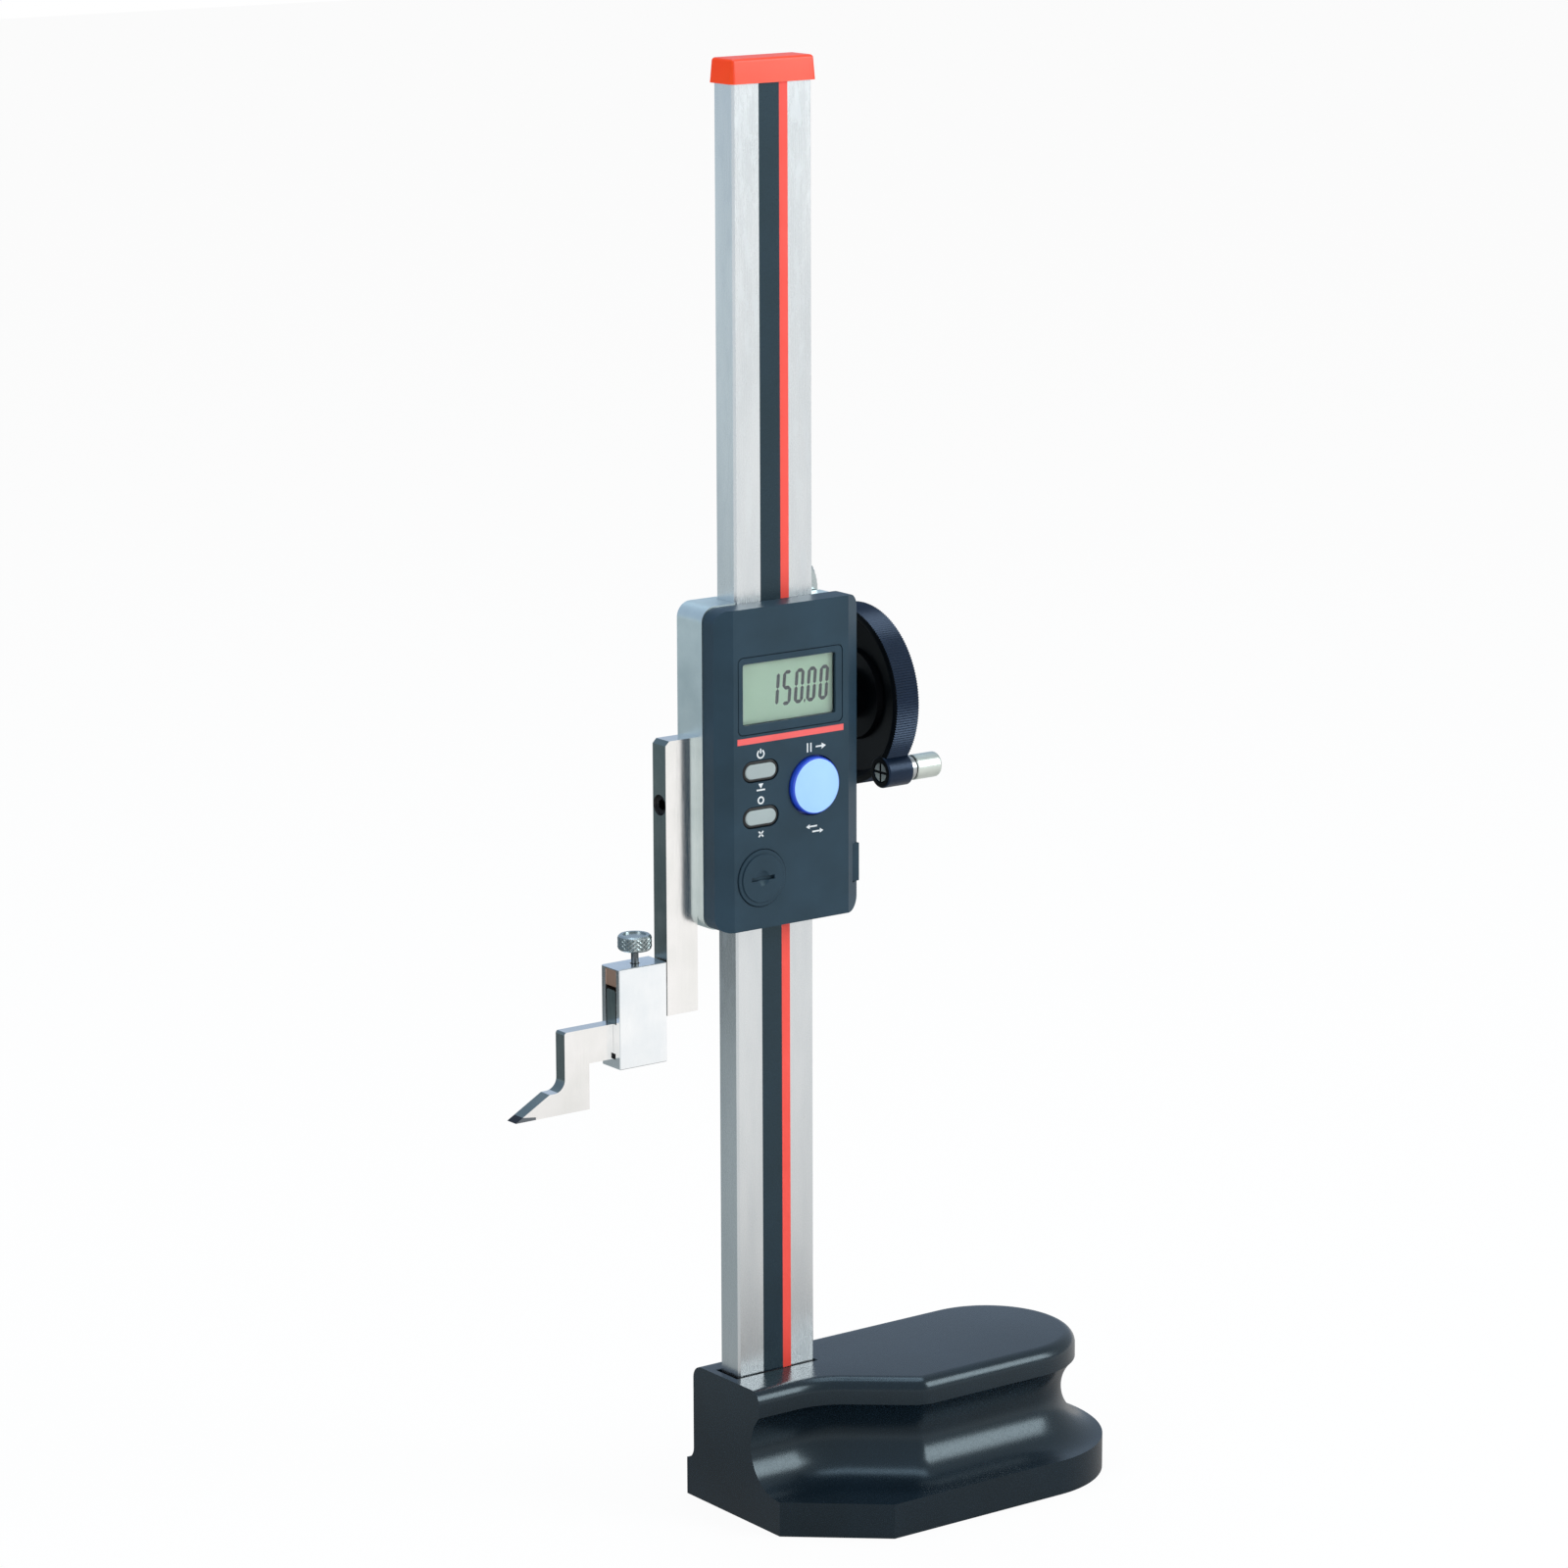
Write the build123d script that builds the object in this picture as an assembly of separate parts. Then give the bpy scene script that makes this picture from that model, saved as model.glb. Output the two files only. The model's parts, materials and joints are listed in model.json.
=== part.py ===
from build123d import *
import math
import os

# Digital height gauge with a 300 mm range, set at a reading of 150 mm.
# Millimetres. +Z runs up the column, +X points to the handwheel, -Y is the display side.
# The origin is on the base's underside, on the centre line of the column.

# Column and its two inlaid scale strips
column_width = 31.8
column_depth = 10.7
column_foot_z = 20.0
column_top_z = 487.8
column_bevel = 0.7
strip_left_x = -5.6
strip_split_x = 2.6
strip_right_x = 6.0
strip_depth = 0.5
cap_bottom_z = 483.2
cap_top_z = 491.3
cap_wall = 1.2
cap_draft = 5.0

# Base casting
base_top_z = 47.4
flange_height = 12.1
front_x = -20.0
flange_far_y = 19.65
flange_near_y = -58.75
flange_chamfer_x = 9.6
flange_chamfer_y = -33.85
flange_end_x = 81.4
lip_far_y = 15.65
lip_strip_y = -22.35
lip_near_y = -44.85
lip_bend_x = 5.1
lip_corner_x = 33.1
lip_end_x = 84.4
lip_edge_radius = 4.5
lip_corner_radius = 6.0
groove_radius = 15.2
groove_offset = 10.4
groove_bend_radius = 16.0
groove_corner_radius = 19.7
groove_far_start_x = 44.0
cove_radius = 4.4
underside_relief = 1.5
foot_rim = 13.0
foot_pad_x = 24.0
seat_gap = 0.7
seat_gap_left = 1.2
seat_gap_depth = 2.5

# Slider: a steel channel that runs on the column
slider_left_x = -29.6
slider_right_x = 29.9
slider_bottom_z = 205.0
slider_top_z = 313.9
slider_corner = 5.2
slider_shoulder_x = 16.5
slider_shoulder_z = 311.5
slider_front_y = -5.5
slider_back_y = 8.45
running_gap = 0.05
channel_back_y = 5.45
gib_thickness = 1.9
rack_slot_depth_y = 7.25

# Rack and pinion drive
gear_module = 0.8
pinion_teeth = 16
pressure_angle = math.radians(20)
backlash = 0.08
wheel_y = 12.65
wheel_z = 273.5
rack_width = 8.0
rack_floor_y = 2.35
rack_bottom_z = 62.0
rack_top_z = 478.0
pinion_width = 7.0
shaft_radius = 3.0
shaft_left_x = -10.7
shaft_right_x = 51.9
hub_seat_x = 45.5
hub_thread_radius = 2.0
feed_x = (-12.5, 27.0)
feed_y = (slider_back_y, 21.9)
feed_z = (258.0, 289.0)
bush_radius = 4.0

# Handwheel and its handle
wheel_radius = 30.7
wheel_left_x = 41.15
wheel_right_x = 50.7
serration_count = 210
serration_depth = 0.35
handle_y = wheel_y - 22.3
handle_z = wheel_z - 23.1
handle_boss_radius = 5.4
handle_boss_left_x = 40.6
handle_collar_right_x = 53.35
handle_collar_radius = 4.0
handle_knob_radius = 4.3
handle_knob_left_x = 53.85
handle_knob_right_x = 64.3
handle_pin_radius = 2.0

# Display housing
housing_x = (-29.2, 29.5)
housing_z = (205.4, 313.5)
housing_corner = 4.9
housing_front_y = -14.55
housing_side_y = -11.35
housing_bevel_x = 5.8
housing_wall = 2.0
bezel_box = (-21.6, 21.3, 271.3, 297.5)
lcd_box = (-19.6, 18.4, 274.6, 295.1)
bezel_depth = 0.9
bezel_gap = 0.3
lcd_depth = 2.3
stripe_box = (-21.9, 21.6, 268.3, 270.4)
hold_x, hold_z, hold_radius = 9.2, 251.2, 9.6
small_button_x = -12.55
on_off_z = 258.8
zero_z = 243.3
small_button_length = 12.4
small_button_height = 5.0
small_recess_length = 14.8
small_recess_height = 7.3
small_recess_depth = 1.1
button_travel = 0.6
button_back_y = -11.0
board_front_y = -9.2
battery_x, battery_z = -12.3, 222.6
battery_cap_radius = 9.6
battery_cap_rise = 0.5
battery_disc_radius = 8.2
battery_disc_rise = 0.95
coin_slot = (9.4, 1.4, 1.2)
coin_dimple_radius = 2.65
coin_dimple_sphere = 4.5
cover_x = (26.7, 30.3)
cover_y = (-12.0, -6.0)
cover_z = (215.2, 228.2)
cover_gap = 0.15

# Jaw, scriber clamp and scriber
jaw_left_x = -42.0
jaw_y = (-2.05, 5.25)
jaw_bottom_z = 177.5
jaw_top_z = 270.2
finger_y = (-0.75, 4.25)
finger_top_z = 189.0
finger_left_x = -62.0
clamp_x = (-62.0, -43.0)
clamp_y = (-3.2, 7.2)
clamp_z = (162.4, 196.4)
clamp_slot_y = (-1.3, 4.8)
clamp_roof = 0.6
scriber_y = (0.65, 5.75)
scriber_top_z = 177.45
scriber_bottom_z = 165.6
scriber_drop_x = (-81.4, -71.7)
scriber_tip_x = -100.9
scriber_tip_z = 150.0
scriber_nose_z = 157.5
scriber_nose_x = -87.5
carbide_slant = 2.8
carbide_length = 7.9
carbide_end_height = 0.9
screw_x, screw_y = -52.3, 1.8
thumb_head_z = (201.1, 206.2)
thumb_head_radius = 5.5

# Screws and pins
column_bolt_x = (-9.0, 9.0)
column_bolt_length = 26.0
bolt_head_z = 10.0
rack_screw_z = (80.0, 200.0, 340.0, 460.0)
gib_screw_z = (226.0, 259.5, 293.0)
housing_screw_x = (-24.0, 23.8)
housing_screw_z = (214.0, 306.0)
feed_screw_x = (-9.0, 23.0)
feed_screw_z = (262.0, 285.0)
jaw_screw_z = 248.4
jaw_screw_y = 1.55
jaw_pin_z = (226.0, 262.0)
jaw_pin_radius = 2.0
jaw_pin_x = (-35.0, -24.0)

# Lock knob behind the slider
lock_x, lock_z = 14.2, 311.4
lock_knob_radius = 15.65
lock_knob_y = (9.6, 17.6)
lock_thread_radius = 2.5


def block(x, y, z):
    size = (x[1] - x[0], y[1] - y[0], z[1] - z[0])
    return Pos((x[0] + x[1]) / 2, (y[0] + y[1]) / 2, (z[0] + z[1]) / 2) * Box(*size)


def rod_x(radius, x, y, z):
    return Pos((x[0] + x[1]) / 2, y, z) * Rot(0, 90, 0) * Cylinder(radius, x[1] - x[0])


def rod_y(radius, y, x, z):
    return Pos(x, (y[0] + y[1]) / 2, z) * Rot(90, 0, 0) * Cylinder(radius, y[1] - y[0])


def rod_z(radius, z, x, y):
    return Pos(x, y, (z[0] + z[1]) / 2) * Cylinder(radius, z[1] - z[0])


def plate_xz(face, y):
    """A face drawn as X and Z, given its thickness from y[0] to y[1]."""
    plane = Plane(origin=(0, y[1], 0), x_dir=(1, 0, 0), z_dir=(0, -1, 0))
    return extrude(plane * face, y[1] - y[0])


def rounded_plate(x, z, radius, y):
    face = Pos((x[0] + x[1]) / 2, (z[0] + z[1]) / 2) * RectangleRounded(x[1] - x[0], z[1] - z[0], radius)
    return plate_xz(face, y)


def obround(length, height, x, z, y):
    return plate_xz(Pos(x, z) * SlotOverall(length, height), y)


def cap_screw(head_radius, head_length, shank_radius, shank_length):
    """A socket head screw along +Z: its shank ends at z = 0, its head is on top."""
    screw = rod_z(shank_radius, (0, shank_length), 0, 0)
    screw += rod_z(head_radius, (shank_length, shank_length + head_length), 0, 0)
    socket = extrude(RegularPolygon(head_radius * 0.58, 6), head_length * 0.5)
    return screw - Pos(0, 0, shank_length + head_length * 0.5) * socket


# ---- base and column ----

def lip_outline():
    end_y = (lip_far_y + lip_near_y) / 2
    end_radius = (lip_far_y - lip_near_y) / 2
    corners = [(lip_end_x, lip_far_y), (front_x, lip_far_y), (front_x, lip_strip_y),
               (lip_bend_x, lip_strip_y), (lip_corner_x, lip_near_y), (lip_end_x, lip_near_y)]
    outline = make_face(Polyline(*corners, close=True))
    bend = outline.vertices().sort_by_distance((lip_bend_x, lip_strip_y, 0))[0]
    outline = fillet(bend, groove_bend_radius + groove_offset)
    corner = outline.vertices().sort_by_distance((lip_corner_x, lip_near_y, 0))[0]
    outline = fillet(corner, lip_corner_radius)
    return outline + Pos(lip_end_x, end_y) * Circle(end_radius)


def flange_outline():
    end_radius = (flange_far_y - flange_near_y) / 2
    corners = [(flange_end_x, flange_far_y), (front_x, flange_far_y), (front_x, flange_chamfer_y),
               (flange_chamfer_x, flange_near_y), (flange_end_x, flange_near_y)]
    outline = make_face(Polyline(*corners, close=True))
    return outline + Pos(flange_end_x, flange_near_y + end_radius) * Circle(end_radius)


def finger_groove():
    """The cutter of the finger groove: a round bar led along the lip, outside it."""
    z = flange_height + groove_radius
    strip_y, near_y, far_y = lip_strip_y - groove_offset, lip_near_y - groove_offset, lip_far_y + groove_offset
    turn = math.atan2(lip_strip_y - lip_near_y, lip_corner_x - lip_bend_x)
    slant = (math.sin(turn), math.cos(turn))
    bend_x = lip_bend_x - (groove_bend_radius + groove_offset) * math.tan(turn / 2)
    corner_x = lip_corner_x + (groove_corner_radius - groove_offset) * math.tan(turn / 2)
    bend_start, corner_end = (bend_x, strip_y), (corner_x, near_y)
    bend_end = (bend_x + groove_bend_radius * slant[0], strip_y - groove_bend_radius * (1 - slant[1]))
    corner_start = (corner_x - groove_corner_radius * slant[0], near_y + groove_corner_radius * (1 - slant[1]))
    half = turn / 2
    bend_middle = (bend_x + groove_bend_radius * math.sin(half), strip_y - groove_bend_radius * (1 - math.cos(half)))
    corner_middle = (corner_x - groove_corner_radius * math.sin(half),
                     near_y + groove_corner_radius * (1 - math.cos(half)))
    end_tip = (lip_end_x + (far_y - near_y) / 2, (far_y + near_y) / 2)
    path = Wire([Line((front_x - 5, strip_y), bend_start), ThreePointArc(bend_start, bend_middle, bend_end),
                 Line(bend_end, corner_start), ThreePointArc(corner_start, corner_middle, corner_end),
                 Line(corner_end, (lip_end_x, near_y)),
                 ThreePointArc((lip_end_x, near_y), end_tip, (lip_end_x, far_y)),
                 Line((lip_end_x, far_y), (groove_far_start_x, far_y))])
    start = Plane(origin=(front_x - 5, strip_y, 0), z_dir=(1, 0, 0))
    cutter = Pos(0, 0, z) * sweep(start * Circle(groove_radius), path)
    return cutter + Pos(groove_far_start_x, far_y, z) * Sphere(groove_radius)


def base_casting():
    lip = lip_outline()
    cove_top = flange_height + 5.4
    flange = extrude(flange_outline(), flange_height)
    body = extrude(lip, base_top_z)
    top_edges = [edge for edge in body.faces().sort_by(Axis.Z)[-1].edges()
                 if edge.center().X > front_x + 0.01]
    body = fillet(top_edges, lip_edge_radius)
    cove = extrude(offset(lip, groove_offset, kind=Kind.INTERSECTION), cove_top) & extrude(flange_outline(), cove_top)
    casting = flange + body + cove
    casting -= finger_groove()
    casting -= rod_x(cove_radius, (front_x - 1, groove_far_start_x), lip_far_y + cove_radius, cove_top)
    half_width, half_depth = column_width / 2, column_depth / 2
    casting -= block((-half_width, half_width), (-half_depth, half_depth), (column_foot_z, base_top_z + 1))
    seat_x = (-half_width - seat_gap_left, half_width + seat_gap)
    casting -= block(seat_x, (-half_depth - seat_gap, half_depth + seat_gap),
                     (base_top_z - seat_gap_depth, base_top_z + 1))
    seat_rim = [edge for edge in casting.edges().filter_by_position(Axis.Z, base_top_z - 0.01, base_top_z + 0.01)
                if abs(edge.center().Y) < half_depth + 1 and seat_x[0] - 1 < edge.center().X < seat_x[1] + 1]
    casting = chamfer(seat_rim, 0.25)
    relief = extrude(offset(flange_outline(), -foot_rim), underside_relief)
    casting -= relief - block((front_x, foot_pad_x), (flange_near_y, flange_far_y), (0, underside_relief))
    for x in column_bolt_x:
        casting -= rod_z(5.5, (0, bolt_head_z), x, 0) + rod_z(3.25, (0, column_foot_z), x, 0)
    return casting


def column_bolts():
    bolt = Rot(180, 0, 0) * cap_screw(5.0, 6.0, 3.0, column_bolt_length)
    return Compound([Pos(x, 0, bolt_head_z + column_bolt_length) * bolt for x in column_bolt_x])


def column():
    half_width, half_depth = column_width / 2, column_depth / 2
    bar = block((-half_width, half_width), (-half_depth, half_depth), (column_foot_z, column_top_z))
    bar = chamfer(bar.edges().filter_by(Axis.Z), column_bevel)
    bar -= block((strip_left_x, strip_right_x), (-half_depth, -half_depth + strip_depth),
                 (base_top_z, column_top_z))
    bar -= block((-rack_width / 2, rack_width / 2), (rack_floor_y, half_depth + 1), (rack_bottom_z, rack_top_z))
    for z in rack_screw_z:
        bar -= rod_y(2.3, (-half_depth, -half_depth + strip_depth + 2.2), 0, z)
        bar -= rod_y(1.25, (-half_depth, rack_floor_y), 0, z)
    for x in column_bolt_x:
        bar -= rod_z(3.0, (column_foot_z, bolt_head_z + column_bolt_length), x, 0)
    return bar


def column_cap():
    half_width, half_depth = column_width / 2, column_depth / 2
    outline = RectangleRounded(2 * (half_width + cap_wall), 2 * (half_depth + cap_wall), 1.6)
    cap = Pos(0, 0, cap_bottom_z) * extrude(outline, cap_top_z - cap_bottom_z, taper=cap_draft)
    cap = fillet(cap.faces().sort_by(Axis.Z)[-1].edges(), 1.2)
    inside = block((-half_width, half_width), (-half_depth, half_depth), (cap_bottom_z, column_top_z))
    return cap - chamfer(inside.edges().filter_by(Axis.Z), column_bevel)


def scale_strip():
    front = -column_depth / 2
    return block((strip_left_x, strip_split_x), (front, front + strip_depth), (base_top_z, column_top_z))


def scale_stripe():
    front = -column_depth / 2
    return block((strip_split_x, strip_right_x), (front, front + strip_depth), (base_top_z, column_top_z))


# ---- rack and pinion ----

def column_rack():
    """Straight rack: its teeth stand out of the column's back towards the pinion."""
    pitch = math.pi * gear_module
    pitch_line = wheel_y - gear_module * pinion_teeth / 2
    tip_y = pitch_line + 0.9 * gear_module
    root_y = pitch_line - 1.25 * gear_module
    half = pitch / 4 - backlash / 2
    half_tip = half - (tip_y - pitch_line) * math.tan(pressure_angle)
    half_root = half + (pitch_line - root_y) * math.tan(pressure_angle)
    first = math.ceil((rack_bottom_z + 1.5 - wheel_z) / pitch)
    last = math.floor((rack_top_z - 1.5 - wheel_z) / pitch)
    points = [(rack_floor_y, rack_bottom_z), (root_y, rack_bottom_z)]
    for number in range(first, last + 1):
        centre = wheel_z + number * pitch
        points += [(root_y, centre - half_root), (tip_y, centre - half_tip),
                   (tip_y, centre + half_tip), (root_y, centre + half_root)]
    points += [(root_y, rack_top_z), (rack_floor_y, rack_top_z)]
    profile = Plane.YZ * make_face(Polyline(*points, close=True))
    rack = Pos(-rack_width / 2, 0, 0) * extrude(profile, rack_width)
    for z in rack_screw_z:
        rack -= rod_y(1.25, (rack_floor_y, rack_floor_y + 2.4), 0, z)
    return rack


def rack_screws():
    front = -column_depth / 2 + strip_depth
    screws = []
    for z in rack_screw_z:
        screws.append(rod_y(2.2, (front, front + 2.2), 0, z) + rod_y(1.25, (front, rack_floor_y + 2.4), 0, z))
    return Compound(screws)


def pinion_profile():
    """Involute tooth outline, with a tooth space facing the rack (-Y)."""
    pitch_radius = gear_module * pinion_teeth / 2
    base_radius = pitch_radius * math.cos(pressure_angle)
    tip_radius = pitch_radius + 0.9 * gear_module
    root_radius = pitch_radius - 1.2 * gear_module
    involute = math.tan(pressure_angle) - pressure_angle
    half_pitch_angle = math.pi / (2 * pinion_teeth) - backlash / (2 * pitch_radius)

    def half_angle(radius):
        if radius <= base_radius:
            return half_pitch_angle + involute
        angle = math.acos(base_radius / radius)
        return half_pitch_angle + involute - (math.tan(angle) - angle)

    radii = [root_radius, base_radius, (base_radius + pitch_radius) / 2, pitch_radius,
             (pitch_radius + tip_radius) / 2, tip_radius]
    flank = [(radius, half_angle(radius)) for radius in radii]
    points = []
    step = 2 * math.pi / pinion_teeth
    for tooth in range(pinion_teeth):
        centre = math.pi + step / 2 + tooth * step
        for radius, angle in flank:
            points.append((radius * math.cos(centre - angle), radius * math.sin(centre - angle)))
        for radius, angle in reversed(flank):
            points.append((radius * math.cos(centre + angle), radius * math.sin(centre + angle)))
    return make_face(Polyline(*points, close=True))


def pinion_shaft():
    teeth = Plane.YZ * pinion_profile()
    shaft = Pos(-pinion_width / 2, wheel_y, wheel_z) * extrude(teeth, pinion_width)
    shaft += rod_x(shaft_radius, (shaft_left_x, hub_seat_x), wheel_y, wheel_z)
    shaft += rod_x(hub_thread_radius, (hub_seat_x, shaft_right_x), wheel_y, wheel_z)
    return shaft


# ---- slider ----

def slider_frame():
    y = (slider_front_y, slider_back_y)
    frame = rounded_plate((slider_left_x, slider_right_x), (slider_bottom_z, slider_top_z), slider_corner, y)
    frame -= block((slider_shoulder_x, slider_right_x), y, (slider_shoulder_z, slider_top_z))
    lug = obround(26.0, 13.5, 0, 0, (channel_back_y, slider_back_y))
    frame += Pos(lock_x, 0, lock_z - 5) * Rot(0, 90, 0) * lug
    side = column_width / 2 + running_gap
    frame -= block((-side, side + gib_thickness), (slider_front_y, channel_back_y),
                   (slider_bottom_z - 1, slider_top_z + 12))
    frame -= block((-rack_width / 2 - 0.6, rack_width / 2 + 0.6), (channel_back_y, rack_slot_depth_y),
                   (slider_bottom_z - 1, slider_top_z + 12))
    frame -= block((-5, 5), (channel_back_y, slider_back_y), (wheel_z - 9, wheel_z + 9))
    for z in gib_screw_z:
        frame -= rod_x(2.0, (side + gib_thickness, slider_right_x), 0, z)
    frame -= rod_x(2.0, (slider_left_x, slider_left_x + 10), jaw_screw_y, jaw_screw_z)
    for z in jaw_pin_z:
        frame -= rod_x(jaw_pin_radius, (slider_left_x, jaw_pin_x[1]), jaw_screw_y, z)
    for x in housing_screw_x:
        for z in housing_screw_z:
            frame -= rod_y(1.5, y, x, z) + rod_y(2.9, (slider_back_y - 3, slider_back_y), x, z)
    for x in feed_screw_x:
        for z in feed_screw_z:
            frame -= rod_y(1.25, (channel_back_y, slider_back_y), x, z)
    frame -= rod_y(lock_thread_radius, (channel_back_y, slider_back_y), lock_x, lock_z)
    return frame


def gib_strip():
    side = column_width / 2 + running_gap
    return block((side, side + gib_thickness), (-4.6, 4.6), (slider_bottom_z + 3, slider_top_z - 3))


def gib_screws():
    left = column_width / 2 + running_gap + gib_thickness
    screws = []
    for z in gib_screw_z:
        hexagon = Plane.YZ * RegularPolygon(1.0, 6)
        socket = Pos(left + 6.0, 0, z) * extrude(hexagon, 2.0)
        screws.append(rod_x(2.0, (left, left + 8.0), 0, z) - socket)
    return Compound(screws)


def feed_housing():
    """Bearing block of the pinion shaft, closed at the back."""
    housing = block(feed_x, feed_y, feed_z)
    housing = fillet(housing.edges().filter_by(Axis.X).sort_by(Axis.Y)[-2:], 8.0)
    housing = fillet(housing.edges().filter_by(Axis.Z).sort_by(Axis.Y)[-2:], 2.0)
    housing -= rod_x(8.0, (-5, 5), wheel_y, wheel_z)
    housing -= block((-5, 5), (slider_back_y, wheel_y), (wheel_z - 8, wheel_z + 8))
    housing -= rod_x(bush_radius, (feed_x[0] + 1.5, feed_x[1]), wheel_y, wheel_z)
    for x in feed_screw_x:
        for z in feed_screw_z:
            housing -= rod_y(1.25, feed_y, x, z) + rod_y(2.4, (feed_y[1] - 8, feed_y[1]), x, z)
    return housing


def feed_screws():
    screws = []
    head_y = feed_y[1] - 8
    for x in feed_screw_x:
        for z in feed_screw_z:
            screw = Rot(-90, 0, 0) * cap_screw(2.25, 2.5, 1.25, head_y - channel_back_y)
            screws.append(Pos(x, channel_back_y, z) * screw)
    return Compound(screws)


def shaft_bushings():
    left = rod_x(bush_radius, (feed_x[0] + 1.5, -5), wheel_y, wheel_z)
    right = rod_x(bush_radius, (5, feed_x[1]), wheel_y, wheel_z)
    bore = rod_x(shaft_radius + 0.04, (feed_x[0], feed_x[1] + 2), wheel_y, wheel_z)
    return Compound([left - bore, right - bore])


def housing_block(inset, front):
    """The display housing's form: a plate with bevelled sides and rounded corners, less an inset."""
    left, right = housing_x[0] + inset, housing_x[1] - inset
    bottom, top = housing_z[0] + inset, housing_z[1] - inset
    profile = make_face(Polyline((left, slider_front_y), (left, housing_side_y + inset * 0.6),
                                 (left + housing_bevel_x, front), (right - housing_bevel_x, front),
                                 (right, housing_side_y + inset * 0.6), (right, slider_front_y), close=True))
    form = Pos(0, 0, bottom) * extrude(profile, top - bottom)
    return form & rounded_plate((left, right), (bottom, top), housing_corner - inset, (front, slider_front_y))


def display_housing():
    y = (housing_front_y, slider_front_y)
    front = housing_front_y
    housing = housing_block(0, front)
    inside = housing_block(housing_wall, front + housing_wall)
    for x in housing_screw_x:
        for z in housing_screw_z:
            inside -= rod_y(3.4, y, x, z)
    housing -= inside
    housing -= rounded_plate(bezel_box[:2], bezel_box[2:], 2.0, (front, front + bezel_depth))
    housing -= rounded_plate(lcd_box[:2], lcd_box[2:], 0.8, (front, front + housing_wall))
    housing -= block(stripe_box[:2], (front, front + 0.4), stripe_box[2:])
    housing -= rod_y(hold_radius + 0.7, (front, front + housing_wall), hold_x, hold_z)
    for z in (on_off_z, zero_z):
        housing -= obround(small_recess_length, small_recess_height, small_button_x, z,
                           (front, front + small_recess_depth))
        housing -= obround(small_button_length + 0.5, small_button_height + 0.5, small_button_x, z,
                           (front, front + housing_wall))
    housing -= rod_y(battery_cap_radius + 0.25, (front, front + housing_wall), battery_x, battery_z)
    housing -= block((cover_x[0] - cover_gap, cover_x[1]), (housing_front_y - 1, cover_y[1] + cover_gap),
                     (cover_z[0] - cover_gap, cover_z[1] + cover_gap))
    for x in housing_screw_x:
        for z in housing_screw_z:
            housing -= rod_y(1.5, (slider_front_y - 5.5, slider_front_y), x, z)
    return housing


def connector_cover():
    cover = block(cover_x, cover_y, cover_z)
    cover = fillet(cover.faces().sort_by(Axis.X)[-1].edges(), 0.5)
    grip = block((cover_x[1] - 0.4, cover_x[1]), (-9.6, -8.2), (cover_z[0] + 4, cover_z[1] - 4))
    return cover - grip


def display_bezel():
    front = housing_front_y
    bezel = rounded_plate((bezel_box[0] + bezel_gap, bezel_box[1] - bezel_gap),
                          (bezel_box[2] + bezel_gap, bezel_box[3] - bezel_gap),
                          1.8, (front + 0.05, front + bezel_depth))
    return bezel - rounded_plate(lcd_box[:2], lcd_box[2:], 0.8, (front, front + bezel_depth))


def display_window():
    front = housing_front_y
    return rounded_plate((lcd_box[0], lcd_box[1]), (lcd_box[2], lcd_box[3]), 0.8,
                         (front + bezel_depth, front + bezel_depth + 0.5))


def lcd_panel():
    front = housing_front_y + lcd_depth
    return block((lcd_box[0] - 1, lcd_box[1] + 1), (front, board_front_y), (lcd_box[2] - 1, lcd_box[3] + 1))


def display_stripe():
    return block(stripe_box[:2], (housing_front_y, housing_front_y + 0.4), stripe_box[2:])


def circuit_board():
    board = rounded_plate((-26.1, 26.4), (208.5, 310.5), 5.0, (board_front_y, board_front_y + 1.2))
    socket = block((20.5, 26.3), (-10.3, board_front_y), (218.0, 227.0))
    board += socket - block((22.0, 26.3), (-9.95, -9.55), (219.5, 225.5))
    for x in housing_screw_x:
        for z in housing_screw_z:
            board -= rod_y(3.5, (board_front_y, board_front_y + 1.2), x, z)
    return board


def detector_board():
    return block((-14.0, 14.0), (board_front_y + 1.2, -5.65), (228.0, 292.0))


def keypad():
    """Rubber mat with a low dome under each button."""
    top = button_back_y + button_travel
    mat = rounded_plate((-20, 20.5), (236.5, 264), 2.0, (top + 0.7, board_front_y))
    mat += rod_y(4.0, (top, top + 0.7), hold_x, hold_z)
    for z in (on_off_z, zero_z):
        mat += rod_y(2.0, (top, top + 0.7), small_button_x, z)
    return mat


def battery():
    return rod_y(8.0, (-12.6, -9.6), battery_x, battery_z)


def battery_contact():
    return block((battery_x - 5, battery_x + 5), (-9.6, board_front_y), (battery_z - 2, battery_z + 2))


def housing_screws():
    screws = []
    head_y = slider_back_y - 3
    tip_y = slider_front_y - 5.5
    for x in housing_screw_x:
        for z in housing_screw_z:
            screw = Rot(-90, 0, 0) * cap_screw(2.75, 2.5, 1.5, head_y - tip_y)
            screws.append(Pos(x, tip_y, z) * screw)
    return Compound(screws)


# ---- keys and caps on the display housing ----

def hold_button():
    button = rod_y(hold_radius, (housing_front_y - 1.9, button_back_y), hold_x, hold_z)
    button = fillet(button.edges().sort_by(Axis.Y)[0], 0.9)
    return button + rod_y(hold_radius + 1.6, (housing_front_y + housing_wall + 0.2, button_back_y), hold_x, hold_z)


def small_button(z):
    front = housing_front_y - 0.25
    button = obround(small_button_length, small_button_height, small_button_x, z, (front, button_back_y))
    button = fillet(button.faces().sort_by(Axis.Y)[0].edges(), 0.5)
    return button + obround(small_button_length + 2.4, small_button_height + 2.4, small_button_x, z,
                            (housing_front_y + housing_wall + 0.2, button_back_y))


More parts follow.
